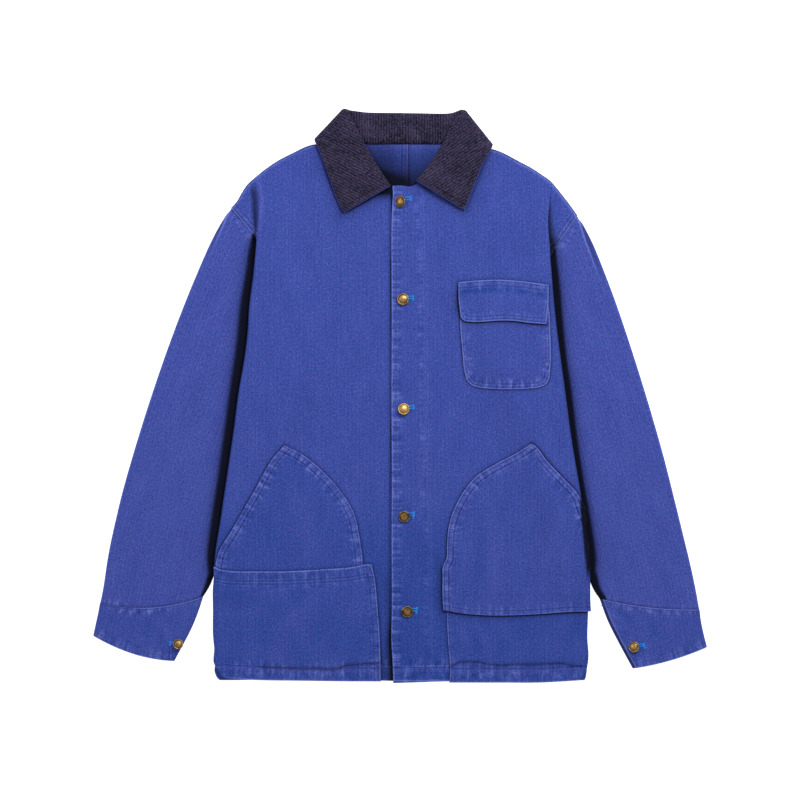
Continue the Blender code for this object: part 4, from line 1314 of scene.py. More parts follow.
def make_cuff(side):
    """A cuff lapped over its sleeve: seam puckers at its top and an edge row at its hem. The
    wearer's left one shows the end of its vent, a fold with a hollow outside it."""
    rings = CUFFS[side]
    steps = np.insert(np.linspace(0, 1, 54), [1, -1], [0.0035, 0.9965])
    loops, grain = tube_points(rings, steps, CUFF_COLUMNS, lambda x, y:
                               CUFF_HEIGHT + 0.25 * cloud(x + 900, y + 900, 28, 17 + side))
    x, y, z = loops[..., 0], loops[..., 1], loops[..., 2]
    upper = upper_layer(z)
    to_top, s = near_line(x, y, ring_edge(rings, 0))
    wave = wander(s, 9, 81 + side) + 0.6 * wander(s, 4.1, 82)
    band = bell(to_top - 5, 4.5)
    middle = ease((-322 - x) / 16) * (1 - ease((-392 - x) / 16))
    seams = [((1.1 if side > 0 else 0.4 + 1.3 * middle) * band, s)]
    to_hem, s = near_line(x, y, ring_edge(rings, -1))
    more, hem_band = pucker(to_hem, s, (CUFF_HEM_ROW,), 6, 85 + side)
    seams.append((1.1 * hem_band, s))
    lying = creases(x, y, CUFF_CREASES[side])
    lift, wear = 0.34 * wave * band + more + lying, 0.10 * band + 0.22 * lying
    to_inner, _ = near_line(x, y, fold_line(rings, "inner"))
    shade = 0.10 * bell(to_inner, 6)
    rim = np.minimum(to_top + (side < 0) * 2 * ease((-366 - x) / 12), to_hem)
    if side > 0:
        lift -= 1.5 * (1 - ease((to_inner - 3.2) / 1.2))
        rim = np.minimum(rim, np.abs(to_inner - 4.6))
        shade = shade + 0.7 * bell(to_inner - 2.2, 1.6)
    z += lift * upper
    fields = {"wear": wear, "shade": np.clip(shade * upper, 0, 1), "edge": rim,
              "row_a": np.minimum(faint(to_top - 2, 0.6), faint(to_hem - CUFF_HEM_ROW, 1.05)),
              "row_b": faint(to_top - (9 if side > 0 else -FAR), 0.95), **strongest(seams)}
    if side < 0:
        below = ease((-346 - y) / 4) * upper
        fields["row_c"] = np.where(below > 0.5, x + 323, FAR)
    cloth("cloth_cuff_" + side_name(side), loops, grid_quads(*x.shape, closed=True),
          blue_twill, side < 0, fields, grain)
    return loops[:, :CUFF_COLUMNS]


for side in (-1, 1):
    make_sleeve(side)
faces_of_cuffs = {side: make_cuff(side) for side in (-1, 1)}

# %% [markdown]
# ## Pockets
#
# The pockets are patches sewn onto the fronts, so each one takes its heights from the front
# beneath it. Near the side the front turns over its fold, and a patch turns with it, standing
# off square to the cloth. The hip pockets are bells: the curved edge is sewn down and the
# slanting edge is open for the hand. A straight patch covers the foot of one bell, and the
# other bell hangs over its straight patch.

# %% Laying a patch on a front
def lay_on(x, y, side, offset):
    """Points standing off the front by an offset, turning over the side fold in a circle."""
    radius = np.maximum(fold_radius(y), 0.5)
    depth = np.maximum(inside_fold(x, y, side), 0.05)
    across = np.clip(1 - depth / radius, 0, 1)
    square = np.sqrt(1 - across ** 2)
    drop = radius * (1 - square)
    return np.stack([x + side * offset * across, y,
                     front_height(x, y, side) - drop + offset * square], axis=-1)


def graded(count, fine_start, fine_end):
    """Shares 0 to 1, closer at an end that is sewn, with one narrow strip along either edge that
    keeps the edge crisp."""
    place = np.linspace(0, 1, count)
    bend = 0.045 * (fine_end * np.sin(np.pi * place) * place
                    - fine_start * np.sin(np.pi * place) * (1 - place)) * 2
    return np.insert(np.clip(place + bend, 0, 1), [1, -1], [0.0014, 0.9986])


def extended(line, by=40):
    """A line drawn on straight past both of its ends, so that a stitch row runs out over an
    edge that isn't sewn."""
    before, after = line[0] - line[4], line[-1] - line[-5]
    return np.vstack([line[:1] + by * before / np.linalg.norm(before), line,
                      line[-1:] + by * after / np.linalg.norm(after)])


print("a patch's first shares:", graded(8, True, False)[:3].round(4))

# %% How the pockets are sewn and worn
# How faint the chest pocket's stitch rows are, by edge, in mm of least distance
STITCH_FAINT = {"start": 1.05, "end": 0.95, "bottom": 0.45, "top": 0.50}

# Soft creases that run slanting over the straight patches and the bells
PATCH_CREASES = {
    "hip_pocket_right_lower": table(
        CREASE, (-182, -340, -108, -284, 4, 13, 0.6), (-240, -300, -190, -286, 2, 10, -0.45),
        (-236, -352, -160, -372, 3, 12, 0.4), (-96, -300, -60, -360, -4, 12, -0.4)),
    "hip_pocket_left_lower": table(
        CREASE, (102, -320, 130, -366, 3, 9, 0.65), (78, -324, 102, -362, 2, 8, 0.5),
        (90, -318, 116, -366, 2, 7, -0.5), (196, -330, 232, -366, -3, 14, 0.35)),
    "hip_pocket_left_upper": table(
        CREASE, (112, -180, 108, -292, 4, 12, -0.5), (128, -170, 124, -296, 4, 12, 0.45),
        (210, -180, 226, -286, -4, 18, 0.35)),
    "hip_pocket_right_upper": table(
        CREASE, (-150, -110, -128, -236, 5, 16, 0.4), (-198, -160, -170, -240, 4, 14, -0.35))}

# How faint the worn edge of a bell is, in mm of least distance
EDGE_FAINT = {"hip_pocket_right_upper": 0.80, "hip_pocket_left_upper": 0.60,
              "hip_pocket_left_lower": 0.45, "hip_pocket_right_lower": 0.35}

# A short tack at a bell's upper corner: its middle and its slope
TACKS = {"hip_pocket_right_upper": (-161, -73, -0.25),
         "hip_pocket_left_upper": (182, -71, 0.35)}

# The shade under an edge that hangs free: the edge, its reach and its depth
OVERHUNG = {
    "chest_pocket": (pocket_edge("chest_pocket_flap", "bottom"), 3.6, 0.50),
    "hip_pocket_left_lower": (pocket_edge("hip_pocket_left_upper", "bottom"), 5, 0.42)}

SEWING = {
    "hip_pocket_right_upper": {"end": ((2.6, 9.4), 9, 101, 1.3), "top": ((8.5,), 10, 103, 1.2)},
    "hip_pocket_right_lower": {"end": ((2.4, 8.6), 8, 111, 0.8),
                               "top": ((13.6, 18), 12, 113, 0.7),
                               "bottom": ((18.5,), 8, 115, 0.9)},
    "hip_pocket_left_lower": {"start": ((2.4,), 9, 121, 0.5), "bottom": ((19.5,), 8, 123, 0.9)},
    "hip_pocket_left_upper": {"start": ((2.6, 9), 9, 131, 1),
                              "top": ((2.6, 8.5), 9, 133, 1.1),
                              "bottom": ((6.4,), 10, 135, 0.7)},
    "chest_pocket": {"start": ((2.4, 7.4), 8, 141, 0.65), "end": ((2.4, 7.4), 8, 143, 0.65),
                     "bottom": ((2.4, 7.4), 7, 145, 1.3)},
    "chest_pocket_flap": {"top": ((2.4, 8.4), 8, 151, 0.8), "start": ((2.2,), 8, 153, 0.6),
                          "end": ((2.2, 7), 8, 155, 0.6),
                          "bottom": ((2.6, 7.6), 8, 157, 0.55)}}

# How wide the side shade of the wearer's left bell is
BELL_SHADE = table(("y", "width"), (-275, 0), (-258, 0.4), (-243, 1.2), (-215, 2.2), (-160, 2.6),
                   (-150, 2), (-138, 0.7), (-128, 0))
print("pockets with a sewing plan:", len(SEWING))

# %% Making a pocket
def own_marks(name, x, y, side, lines, lift, wear, shade):
    """Adds what only some patches have: slanting creases, a folded hem's pale line, painted shade
    under a free edge, a line of painted shade across the flap, the bells' side shade and tacks."""
    if name in PATCH_CREASES:
        lying = creases(x, y, PATCH_CREASES[name])
        lift += lying
        wear += 0.22 * lying
    if name.endswith("lower"):
        hem = y_over(lines["bottom"], x, y)
        wear += 0.20 * bell(hem - 14, 3) + 0.10 * cloud(x + 400, y - 300, 26, 9)
    if name in OVERHUNG:
        below, reach, deep = OVERHUNG[name]
        shade += deep * np.exp(-(near_line(x, y, below)[0] / reach) ** 1.4)
    # A line of painted shade across the flap, 14 mm below its top
    if name == "chest_pocket_flap":
        d, s = near_line(x, y, lines["top"])
        wear -= 0.34 * bell(d - 14, 3.6) * (1 + 0.8 * wander(s, 5, 158))
    if name == "hip_pocket_left_upper":
        width = np.interp(y, BELL_SHADE["y"], BELL_SHADE["width"])
        inside = np.maximum(inside_fold(x, y, side), 0)
        shade += (1 - ease((inside - width) / 3)) * ease(width / 1.4)
    if name in TACKS:
        tack_x, tack_y, slope = TACKS[name]
        across = x - tack_x
        wear += 1.1 * np.exp(-(across / 5) ** 4 - ((y - tack_y - slope * across) / 1.5) ** 2)


def make_pocket(name, side, offset, count, paleness, lifted):
    """A patch from its four edges. Its sewing gives each sewn edge stitch rows, the pitch of
    the puckers, a seed and their strength; lifted names an edge that stands off, how far and
    over what width."""
    edges, sewing = POCKETS[name], SEWING[name]
    u = graded(count, "start" in sewing, "end" in sewing)
    v = graded(count, "bottom" in sewing, "top" in sewing)
    lines = {edge: along(edges[edge], shares)
             for edge, shares in (("bottom", u), ("top", u), ("start", v), ("end", v))}
    plan = coons(lines["bottom"], lines["top"], lines["start"], lines["end"], u, v)
    x, y = plan[..., 0], plan[..., 1]
    lift, wear, shade = np.zeros(x.shape), np.full(x.shape, paleness), np.zeros(x.shape)
    rim, row_a, row_b, row_c = (np.full(x.shape, FAR) for _ in range(4))
    seams = []
    for edge, (rows_in, pitch, seed, strength) in sewing.items():
        d, s = near_line(x, y, extended(lines[edge]))
        if edge == "bottom" and name.endswith("lower"):
            d, s = y_over(lines[edge], x, y), x + 300.0
        more, band = pucker(d, s, rows_in, pitch * 0.7, seed)
        lift += more * strength
        seams.append((band * strength, s))
        rim = np.minimum(rim, d)
        least = STITCH_FAINT[edge] if name.startswith("chest") else 0.20
        row_a = np.minimum(row_a, faint(d - rows_in[0], least))
        if len(rows_in) > 1:
            row_b = np.minimum(row_b, faint(d - rows_in[-1], least))
        if name.startswith("hip") and name.endswith("upper") and edge != "bottom":
            row_c = np.minimum(row_c, faint(d - rows_in[-1] - 0.2, 0.35))
            wear += 0.16 * bell(d - 5, 3.2)
    lift += 0.5 * ease((rim - 9) / 25) - 0.55 * (1 - rounded(rim, 1.3))
    if lifted:
        edge, height, width = lifted
        lift += height * bell(near_line(x, y, lines[edge])[0], width)
    lift += 0.18 * cloud(x + 700, y + 700, 30, 5 + len(name))
    own_marks(name, x, y, side, lines, lift, wear, shade)
    fields = {"wear": wear, "shade": shade, "edge": faint(rim - 0.7, EDGE_FAINT.get(name, 0.2)),
              "row_a": row_a, "row_b": row_b, "row_c": row_c, **strongest(seams)}
    # A painted shadow line along the edges that cover the patch
    if name in COVERS:
        fields["lap"] = outside_line(x, y, COVERS[name])
    points = lay_on(x, y, side, offset + lift)
    cloth("cloth_" + name, points, grid_quads(*x.shape), blue_twill, False, fields, plan)
    return points


print("pockets with their own marks:", sorted({*PATCH_CREASES, *OVERHUNG, *TACKS}))

# %% Six patches
# The fifth number in each row is how much paler the whole patch is made, darker where negative
pocket_points = {name: make_pocket(name, *sizes) for name, *sizes in (
    ("hip_pocket_right_upper", -1, 1.7, 92, -0.10, ("top", 1.1, 12)),
    ("hip_pocket_right_lower", -1, 3.5, 96, -0.11, ("top", 1, 9)),
    ("hip_pocket_left_lower", 1, 1.7, 84, -0.14, None),
    ("hip_pocket_left_upper", 1, 3.5, 104, -0.02, ("bottom", 0.9, 14)),
    ("chest_pocket", 1, 1.7, 80, 0.02, None),
    ("chest_pocket_flap", 1, 3.5, 70, 0.0, ("bottom", 0.9, 8.0)))}

# %% [markdown]
# ## Collar
#
# The collar is one band of corduroy: it stands up from the neck seam, rolls over, and falls
# outwards into two leaves, while behind the neck the fall lies under the jacket. Each row of
# the table is a section across the band. The sections are read smoothly from one front end,
# round the back of the neck, to the other. The under collar is twill, cut a little wider, so a
# thin blue line shows round the leaves.

# %% The collar's sections
COLLAR = table(
    ("neck_x", "neck_y", "roll_x", "roll_y", "edge_x", "edge_y",
     "neck_z", "stand_z", "fall_z", "edge_z", "flat"),
    (-22, 299.5, -13, 296, -77.5, 258.5, 5.6, 5.8, 11.2, 8.1, 0),
    (-32, 307, -21, 307, -83, 266, 5.6, 5.8, 11.6, 8.2, 0),
    (-47, 324, -34, 327, -90, 282, 6, 6.2, 12.2, 8.6, 0),
    (-65, 346, -50, 355, -97, 302, 8.2, 8.4, 14, 9.4, 0),
    (-77, 361, -60, 373, -106, 327, 9.8, 9.9, 15.4, 10.6, 0),
    (-82, 368, -69, 392, -115, 350, 10.2, 10.2, 15.4, 11.6, 0),
    (-85, 371, -73, 398.5, -119, 358, 9.8, 9.8, 13, 10, 0.6),
    (-86, 373, -75, 401.5, -120, 361, 8.9, 8.9, 7.5, 6, 1),
    (-85, 374, -73, 402, -116, 362, 8, 8.2, 2.4, 2, 0.6),
    (-81, 372, -69, 401, -110, 359.5, 7.4, 7.8, 0, 0, 0),
    (-71, 365, -58, 399.5, -94, 352, 7.2, 7.8, 0, 0, 0),
    (-49, 354, -43, 398, -62, 347, 7.1, 7.8, 0, 0, 0),
    (-8, 353.5, -8, 397.5, -8, 346, 7.1, 7.8, 0, 0, 0),
    (30, 353.5, 28, 397, 36, 346, 7.1, 7.8, 0, 0, 0),
    (60, 354, 54, 396.5, 74, 346, 7.1, 7.8, 0, 0, 0),
    (83, 363, 70, 397, 104, 349, 7.2, 7.8, 0, 0, 0),
    (93, 369, 80, 400, 119, 353, 7.4, 7.8, 0, 0, 0),
    (97, 371.5, 84.5, 401.5, 126, 355.5, 8, 8.1, 2.4, 2, 0.6),
    (98, 370, 87, 399.5, 130, 353.5, 8.9, 8.9, 7.5, 6, 1),
    (97, 368, 85, 396.5, 129, 350, 9.8, 9.8, 13, 10, 0.6),
    (94, 365, 78.5, 390, 125, 343, 10.2, 10.2, 15.4, 11.6, 0),
    (88, 358, 68.5, 374, 114, 323, 9.8, 9.9, 15.4, 10.6, 0),
    (77, 345, 59.5, 354, 105, 300, 9.2, 9.4, 14.6, 9.6, 0),
    (58, 326, 44.5, 330, 98, 282, 7, 7.2, 13, 8.8, 0),
    (43, 311, 32, 313, 93.5, 270, 7.4, 7.5, 13, 8.6, 0),
    (32, 304.5, 22, 303.5, 89.5, 262, 7.4, 7.5, 13, 8.4, 0))
print("sections of the collar:", len(COLLAR["flat"]))

# %% From sections to a band
STAND_COLUMNS, FOLD_COLUMNS, FALL_COLUMNS = 14, 9, 26


def collar_grid(stations):
    """Neck, stand, rolled fold and fall at each station; also each column's part, 0 to 2."""
    order = np.linspace(0, 1, len(COLLAR["flat"]))
    at = np.linspace(0, 1, stations)
    rows = {name: read(dict(COLLAR, s=order), name, at, "s")[:, None] for name in COLLAR}
    neck = np.concatenate([rows["neck_x"], rows["neck_y"]], axis=1)
    roll = np.concatenate([rows["roll_x"], rows["roll_y"]], axis=1)
    edge = np.concatenate([rows["edge_x"], rows["edge_y"]], axis=1)
    out = unit(roll - edge)
    beside = np.stack([out[:, 1], -out[:, 0]], axis=1)
    beside *= np.sign(np.sum(beside * (neck - edge), axis=1))[:, None]
    radius = np.abs(rows["fall_z"] - rows["stand_z"]) / 2
    middle = (rows["fall_z"] + rows["stand_z"]) / 2
    spread = 4.5 * np.clip(rows["flat"], 0, 1)
    reach = np.maximum(radius, spread)
    rise = np.where(rows["fall_z"] > rows["stand_z"], 1, -1)
    fold_in = roll - out * reach
    columns, parts = [], []
    for share in np.linspace(0, 1, STAND_COLUMNS):
        height = rows["neck_z"] + ease(share) * (rows["stand_z"] - rows["neck_z"])
        columns.append(np.concatenate([neck + share * (fold_in + beside * spread - neck),
                                       height], axis=1))
        parts.append(share * 0.9)
    for angle in np.radians(np.linspace(-90, 90, FOLD_COLUMNS + 2)[1:-1]):
        place = fold_in + out * reach * np.cos(angle) - beside * spread * np.sin(angle)
        columns.append(np.concatenate([place, middle + rise * radius * np.sin(angle)], axis=1))
        parts.append(1 + np.sin(angle) * 0.1)
    for share in np.linspace(0, 1, FALL_COLUMNS):
        arch = 1.2 * np.sin(np.pi * share) * (rows["fall_z"] > rows["stand_z"])
        height = rows["fall_z"] + share * (rows["edge_z"] - rows["fall_z"]) + arch
        place = fold_in - beside * spread
        columns.append(np.concatenate([place + share * (edge - place), height], axis=1))
        parts.append(1.1 + share * 0.9)
    return np.stack(columns, axis=1), np.array(parts)


def wale_distance(points, parts):
    """Distance across the wales: X on the stand and the back, and on each leaf the distance
    square to a line that leans down at 27 degrees, or up at 33 degrees on the other leaf."""
    x, y = points[..., 0], points[..., 1]
    slant = np.where(x < 0, np.radians(-27), np.radians(33))
    leaf = y * np.cos(slant) - x * np.sin(slant)
    on_leaf = (parts[None, :] > 1) & (points[..., 2] > 6.5)
    return np.where(on_leaf, leaf, x)


print("columns across the band:", STAND_COLUMNS + FOLD_COLUMNS + FALL_COLUMNS)

# %% The collar and its under collar
def make_collar():
    """The corduroy band, and the twill under collar beneath its fall."""
    points, parts = collar_grid(240)
    x, y = points[..., 0], points[..., 1]
    lying = creases(x, y, table(
        CREASE, (66, 368, 76, 398, 2, 3.2, 0.9), (58, 360, 66, 397, -2, 3.6, -0.5),
        (-60, 372, -52, 398, 2, 4, 0.5), (-90, 300, -60, 350, 3, 16, 0.8),
        (96, 300, 84, 352, 4, 15, 0.7), (-22, 356, -16, 396, 1, 6, 0.35),
        (20, 356, 24, 396, -1, 7, 0.35)))
    points[..., 2] += lying * (points[..., 2] > 5)
    edge = points[:, -1, :2]
    ends = [points[row, STAND_COLUMNS + FOLD_COLUMNS:, :2] for row in (0, -1)]
    wear = np.zeros(x.shape)
    for line, seed in ((edge, 201), (ends[0], 203), (ends[1], 205)):
        d, s = near_line(x, y, line)
        sewn = (parts[None, :] > 1.1) & (points[..., 2] > 5)
        wear -= sewn * 0.8 * bell(d - 6.4, 0.9) * (0.6 + 0.4 * wander(s, 3, seed))
        points[..., 2] -= sewn * 0.35 * bell(d - 6.4, 1.3)
        wear += sewn * 0.35 * bell(d, 1.2)
    wear += 0.35 * bell(parts[None, :] - 1, 0.05) * (y < 392)
    wear += 0.25 * cloud(x + 300, y, 16, 207)
    # Painted shade on the stand where it lies below 362 mm
    wear -= 0.8 * ease((362 - y) / 9) * (parts[None, :] < 0.9)
    fields = {"wear": wear, "wale": wale_distance(points, parts)}
    cloth("cloth_collar_top", points, grid_quads(*x.shape), navy_corduroy, True, fields,
          points[..., :2], wall=1.4)
    normal = unit(np.cross(np.gradient(points, axis=0), np.gradient(points, axis=1)))
    under = (points - 1.85 * normal)[:, STAND_COLUMNS + FOLD_COLUMNS - 3:]
    raised = ease((under[:, -1, 2] - 3) / 3)[:, None]
    under[:, -1] += 1.2 * unit(under[:, -1] - under[:, -2]) * raised
    for end, step in ((0, 1), (-1, -2)):
        under[end] += 1.3 * unit(under[end] - under[step])
    wear = 0.35 * np.ones(under.shape[:2])
    cloth("cloth_collar_under", under, grid_quads(*under.shape[:2]), blue_twill, True,
          {"wear": wear}, under[..., :2], wall=0.9)
    return points


print("collar points:", make_collar().shape)

# %% [markdown]
# ## Stitches
#
# Every seam that shows is sewn with small stitches in thread a little paler than the cloth.
# One stitch is a spindle of ten points, and one seam is that spindle set down hundreds of
# times along a line, all in one mesh. The lines are the pieces' edges moved inwards, and each
# stitch rests on the cloth at its own place, half sunk in the groove that it pulls.

# %% One stitch, and a seam of them
STITCH_PITCH = 3.5
SPINDLE = np.array([(-1, 0, 0), (1, 0, 0),
                    *[(end, side, up) for end in (-0.55, 0.55)
                      for side, up in ((1, 0), (0, 1), (-1, 0), (0, -0.6))]])
SPINDLE_FACES = np.array([(0, 2 + (k + 1) % 4, 2 + k, 2 + k) for k in range(4)]
                         + [(2 + k, 2 + (k + 1) % 4, 6 + (k + 1) % 4, 6 + k) for k in range(4)]
                         + [(1, 6 + k, 6 + (k + 1) % 4, 6 + (k + 1) % 4) for k in range(4)])


def on_surface(surface, x, y):
    """Height of a piece at some places: the mean of its four nearest points, nearer ones more."""
    flat = surface.reshape(-1, 3)
    gap = (x[:, None] - flat[:, 0]) ** 2 + (y[:, None] - flat[:, 1]) ** 2
    near = np.argpartition(gap, 4, axis=1)[:, :4]
    weight = 1 / (np.take_along_axis(gap, near, 1) + 0.05)
    return (flat[near, 2] * weight).sum(1) / weight.sum(1)


def spindles(centre, heading, half_length, half_width, half_height):
    """Copies of the spindle: each point is centre + heading a L + across b W + up c H."""
    heading = unit(heading)
    across = unit(np.cross([0, 0, 1], heading))
    up = np.cross(heading, across)
    points = (centre[:, None] + SPINDLE[:, :1] * half_length * heading[:, None]
              + SPINDLE[:, 1:2] * half_width * across[:, None]
              + SPINDLE[:, 2:] * half_height * up[:, None])
    faces = SPINDLE_FACES[None] + (np.arange(len(centre)) * len(SPINDLE))[:, None, None]
    return points.reshape(-1, 3), faces.reshape(-1, 4)


def sew(line, surface, skip=0, pitch=STITCH_PITCH):
    """Stitches along a line of plan points, resting on a surface; skip is left at both ends."""
    line = np.asarray(line, dtype=float)
    reach = running_length(line)
    at = np.arange(skip + pitch / 2, reach[-1] - skip, pitch)
    ends = [np.stack([np.interp(at + shift, reach, line[:, axis]) for axis in (0, 1)], axis=-1)
            for shift in (-1.2, 1.2)]
    tips = [np.column_stack([end, on_surface(surface, end[:, 0], end[:, 1])]) for end in ends]
    centre = (tips[0] + tips[1]) / 2 + [0, 0, 0.06]
    return spindles(centre, tips[1] - tips[0], 1.35, 0.36, 0.30)


def thread_piece(name, parts, finish):
    """One mesh from the spindles of many lines. A quad that repeats a corner is a triangle."""
    base = np.cumsum([0] + [len(points) for points, _ in parts])
    faces = np.vstack([corners + first for (_, corners), first in zip(parts, base)])
    corners = [face[:3] if face[2] == face[3] else face for face in faces.tolist()]
    piece = new_object(name, np.vstack([points for points, _ in parts]), corners, finish)
    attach(piece, "root")
    print(f"{name}: {len(corners)} faces")
    return piece


print("points in a stitch:", len(SPINDLE))

# %% Sewing the seams
TO_LEFT = {"bottom": 1, "end": 1, "start": -1, "top": -1}


def level(height):
    """A straight line across the jacket at a height."""
    return lambda start, stop: np.column_stack([np.linspace(start, stop, 60), np.full(60, height)])


hem_row = level(HEM_STITCH_Y)
facing_row = along(FACING_LINE, np.linspace(0, 1, 80))
edge_row = inset(along(FRONT_EDGE, np.linspace(0, 1, 120)), -6.2)
seams = {
    "front_left": [sew(edge_row, faces_of_fronts[1], 4), sew(facing_row, faces_of_fronts[1], 20),
                   sew(hem_row(-4, 66), faces_of_fronts[1]),
                   sew(hem_row(28, 36), faces_of_fronts[1])],
    "front_right": [sew(hem_row(-26, -12), faces_of_fronts[-1])],
    "cuff_right": [], "cuff_left": []}
for side in (-1, 1):
    seam = armhole(side, np.linspace(0, FOLD_LEAVES[side] - 0.01, 40))
    face = faces_of_fronts[side]
    seams["front_" + side_name(side)] += [
        sew(inset(seam, -side * distance), face, 3) for distance in (1.6, 8.4)]
    face = faces_of_cuffs[side]
    rings = CUFFS[side]
    top_line = ring_line(rings, 0, np.linspace(0, 1, 40))
    hem_line = ring_line(rings, -1, np.linspace(0, 1, 40))
    seams["cuff_" + side_name(side)] += [
        sew(inset(top_line, side * 2), face, 4),
        sew(inset(hem_line, -side * CUFF_HEM_ROW), face, 5)]
    if side > 0:
        seams["cuff_left"].append(sew(inset(top_line, 9), face, 4))
for name, edges in SEWING.items():
    seams[name] = [sew(inset(pocket_edge(name, edge), TO_LEFT[edge] * row), pocket_points[name],
                       row + 1)
                   for edge, (rows_in, _, _, _) in edges.items() for row in rows_in]
stitches = {name: thread_piece("stitches_" + name, parts, blue_thread)
            for name, parts in seams.items()}

# %% [markdown]
# ## Buttons and buttonholes
#
# The buttons are turned brass shells on short shanks. A profile of radius and height is swept
# round its axis: a low dome, a sunk ring that stays dark, a rolled rim and a hollow foot. Each
# button is a little tipped on its shank, some more than others. A buttonhole is worked in azure
# thread: short wraps side by side make two lips and a bar across their end.

# %% Turned buttons
# The last column is the patina: dark in the hollows, none on the bright rims
BUTTON_PROFILE = table(
    ("radius", "height", "recess"),
    (0, 3.80, 0.00), (0.14, 3.77, 0.02), (0.30, 3.64, 0.05), (0.46, 3.41, 0.12),
    (0.60, 3.08, 0.25), (0.70, 2.76, 0.55), (0.76, 2.62, 0.95), (0.81, 2.74, 0.70),
    (0.86, 3.02, 0.15), (0.92, 3.08, 0), (0.97, 2.86, 0.10), (1, 2.42, 0.45),
    (0.985, 1.98, 0.90), (0.92, 1.68, 1), (0.74, 1.50, 1), (0.50, 1.35, 1),
    (0.34, 0.95, 1), (0.32, 0, 1), (0, -0.35, 1))
# The last column paints each button darker as shade, or paler as a highlight where negative
BUTTONS = table(
    ("x", "y", "radius", "tip_x", "tip_y", "dull"),
    (1, 273, 8, -3, -27, 0.16), (4, 136, 8.2, -6, 2, 0), (5, -18, 8.2, -12, 7, -0.30),
    (6, -168, 8.1, 9, -5, 0.20), (10, -301, 8.2, 9, 3, 0.22), (328, -351, 7.5, -8, -12, 0.04),
    (-311, -347, 7.2, -10, 9, 0.12))
BUTTON_NODES = ("button_front_1", "button_front_2", "button_front_3", "button_front_4",
                "button_front_5", "button_cuff_left", "button_cuff_right")


def turned(x, y, radius, tip_x, tip_y, seat):
    """The profile swept round: (R r cos a, R r sin a, h), tipped about X and then about Y."""
    a = np.linspace(0, 2 * np.pi, 49)[:-1]
    r, h = BUTTON_PROFILE["radius"][:, None] * radius, BUTTON_PROFILE["height"][:, None]
    px, py, pz = r * np.cos(a), r * np.sin(a), h + 0 * a
    about_x, about_y = np.radians(tip_x), np.radians(tip_y)
    py, pz = (py * np.cos(about_x) - pz * np.sin(about_x),
              py * np.sin(about_x) + pz * np.cos(about_x))
    px, pz = (px * np.cos(about_y) + pz * np.sin(about_y),
              pz * np.cos(about_y) - px * np.sin(about_y))
    return np.stack([x + px, y + py, seat + pz], axis=-1)


def make_button(node, seat, x, y, radius, tip_x, tip_y, dull):
    points = turned(x, y, radius, tip_x, tip_y, seat)
    # The patina, with each button's painted shade or painted highlight added
    recess = np.repeat(BUTTON_PROFILE["recess"] + dull, points.shape[1])
    faces = grid_quads(*points.shape[:2], closed=True)[:, ::-1]
    piece = new_object("brass_" + node, points.reshape(-1, 3), faces, antique_brass,
                       {"recess": recess})
    weld = piece.modifiers.new("weld", "WELD")
    weld.merge_threshold = 0.01 * MM
    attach(piece, "root")
    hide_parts(node)
    return piece


buttons = {}
for number, node in enumerate(BUTTON_NODES):
    row = {name: float(BUTTONS[name][number]) for name in BUTTONS}
    beneath = (faces_of_cuffs[1] if node.endswith("cuff_left") else
               faces_of_cuffs[-1] if node.endswith("cuff_right") else faces_of_fronts[1])
    seat = float(on_surface(beneath, np.array([row["x"]]), np.array([row["y"]]))[0])
    lift = 0.35 + 0.022 * abs(row["tip_y"])
    buttons[node] = make_button(node, seat + lift, **row)
print("buttons:", len(buttons))

# %% Worked buttonholes
def wraps(start, stop, surface, width, count, lift=0.25):
    """Wraps side by side along a line, each one lying across it."""
    start, stop = np.array(start, dtype=float), np.array(stop, dtype=float)
    place = start + np.linspace(0, 1, count)[:, None] * (stop - start)
    centre = np.column_stack([place, on_surface(surface, place[:, 0], place[:, 1]) + lift])
    run = (stop - start) / np.linalg.norm(stop - start)
    heading = np.tile([-run[1], run[0], 0], (count, 1))
    half = np.linalg.norm(stop - start) / count * 0.62
    return spindles(centre, heading, width / 2, half, 0.55)


# Lips from under the button to the bar, then the bar: its x, middle y, half height and slant
HOLES = table(
    ("from_x", "to_x", "mid_y", "gap", "bar_x", "bar_low", "bar_high", "slant", "facing"),
    (7, 15.5, 277, 1.7, 15, 273.6, 280.4, 0, 0),
    (10.5, 19, 138.5, 1.6, 18.6, 134.5, 141.6, 0, 0),
    (11.5, 19.5, -15, 1.7, 19, -18.2, -11.6, 0, 0),
    (12, 20, -165, 1.8, 19.3, -171.4, -161.6, -0.6, 0),
    (16, 24.5, -298.6, 1.6, 23.6, -304, -295.2, -0.6, 0),
    (333.5, 341.5, -348.8, 1.4, 341.6, -353.2, -345.6, 1.4, 1),
    (-316, -322.5, -345.6, 1.2, -322.4, -348.8, -342.6, 0, 2))
hole_parts = {"front_left": [], "cuff_left": [], "cuff_right": []}
for row in zip(*HOLES.values()):
    start, stop, middle, gap, bar_x, low, high, slant, which = row
    owner = ("front_left", "cuff_left", "cuff_right")[int(which)]
    beneath = (faces_of_fronts[1], faces_of_cuffs[1], faces_of_cuffs[-1])[int(which)]
    for side in (-1, 1):
        hole_parts[owner].append(wraps((start, middle + side * gap), (stop, middle + side * gap),
                                       beneath, 2.7, 13, 0.5))
    hole_parts[owner].append(wraps((bar_x + slant, low), (bar_x - slant * 0.3, high), beneath,
                                   3.9, 11, 0.65))
buttonholes = {name: thread_piece("buttonholes_" + name, parts, azure_thread)
               for name, parts in hole_parts.items()}

# A tube is cut as one sheet that goes all the way round.

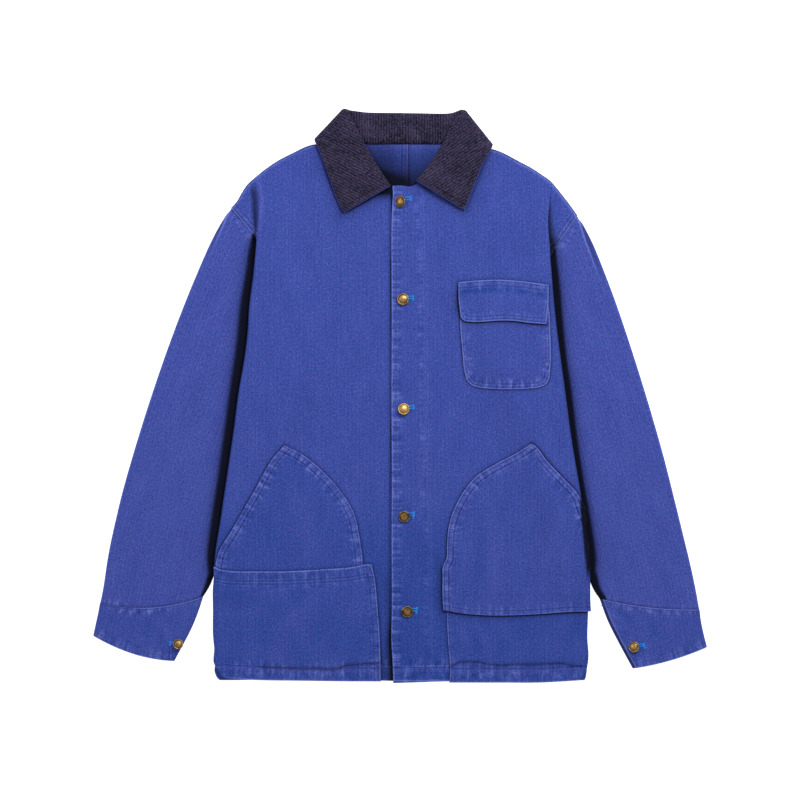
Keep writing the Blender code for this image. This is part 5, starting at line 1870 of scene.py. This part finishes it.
# %% Cuts, in metres
CUTS = {
    "back_right": ((0.265, 0.757), 0.155, "laid", ()),
    "back_left": ((0.262, 0.757), 0.151, "laid", ()),
    "front_right": ((0.365, 0.770), 0.213, "folded", ("cloth_back_right", "cloth_sleeve_right")),
    "front_left": ((0.360, 0.770), 0.209, "folded",
                   ("cloth_back_left", "cloth_sleeve_left", "cloth_front_right")),
    "sleeve_right": ((0.415, 0.545), 0.163, "laid", ("back_right",)),
    "sleeve_left": ((0.405, 0.545), 0.152, "laid", ("back_left",)),
    "cuff_right": ((0.300, 0.085), 0.0182, "laid", ("cloth_sleeve_right",)),
    "cuff_left": ((0.300, 0.090), 0.0194, "laid", ("cloth_sleeve_left",)),
    "hip_pocket_right_upper": ((0.212, 0.192), 0.0268, "laid", ("cloth_front_right",)),
    "hip_pocket_right_lower": ((0.240, 0.166), 0.0362, "laid", ("cloth_front_right",)),
    "hip_pocket_left_lower": ((0.200, 0.117), 0.0225, "laid", ("cloth_front_left",)),
    "hip_pocket_left_upper": ((0.208, 0.245), 0.0399, "laid", ("cloth_front_left",)),
    "chest_pocket": ((0.130, 0.137), 0.0165, "laid", ("cloth_front_left",)),
    "chest_pocket_flap": ((0.128, 0.064), 0.0072, "laid", ("cloth_chest_pocket",)),
    "collar_top": ((0.560, 0.110), 0.046, "folded", ("cloth_front_right", "cloth_front_left")),
    "collar_under": ((0.560, 0.070), 0.030, "folded", ("cloth_front_right", "cloth_front_left"))}
for name, (flat, area, held, rests_on) in CUTS.items():
    sewn_on = [group[name] for group in (stitches, buttonholes) if name in group]
    made_cloth["cloth_" + name]
print("sheets:", len(CUTS))

# %% [markdown]
# ## Camera, light and floor
#
# The camera looks straight down through a long lens, which keeps the jacket's edges from
# leaning. A large key light from the top right and a weaker fill from the left give soft
# shade, and the floor glows a little, so that it stays plain and pale.

# %% Camera, light and floor
LENS = 160.46
camera_data = bpy.data.cameras.new("camera")
camera_data.lens = LENS
camera_data.sensor_width = 36.0
camera = bpy.data.objects.new("camera", camera_data)
camera.location = (0.0, -4.9 * MM, 5.0)
bpy.context.scene.collection.objects.link(camera)
bpy.context.scene.camera = camera


def softbox(name, place, aim, size, power):
    """A square area light that faces a point."""
    data = bpy.data.lights.new(name, "AREA")
    data.size, data.energy = size, power
    lamp = bpy.data.objects.new(name, data)
    lamp.location = place
    lamp.rotation_euler = (Vector(aim) - Vector(place)).to_track_quat("-Z", "Y").to_euler()
    bpy.context.scene.collection.objects.link(lamp)


softbox("key", (1.1, 1.9, 2.1), (0, 0, 0), 1.1, 62)
softbox("fill", (-1.9, 0.7, 1.9), (0, 0, 0), 0.8, 17)
world = bpy.data.worlds.new("studio")
world.use_nodes = True
world.node_tree.nodes["Background"].inputs["Color"].default_value = (0.97, 0.98, 1.0, 1.0)
world.node_tree.nodes["Background"].inputs["Strength"].default_value = 0.30
bpy.context.scene.world = world
bpy.context.scene.view_settings.view_transform = "Standard"

floor_finish = Finish("pale_floor", 0.9, Base_Color=(0.75, 0.75, 0.75, 1.0),
                      Emission_Color=(1.0, 1.0, 1.0, 1.0), Emission_Strength=0.94)
FLOOR_REACH = 6000.0
corners = np.array([(-1, -1, 0), (1, -1, 0), (1, 1, 0), (-1, 1, 0)])
floor = new_object("floor", FLOOR_REACH * corners, [[0, 1, 2, 3]], floor_finish.material)
print("camera at", tuple(round(c, 4) for c in camera.location), "lens", LENS)

# %% [markdown]
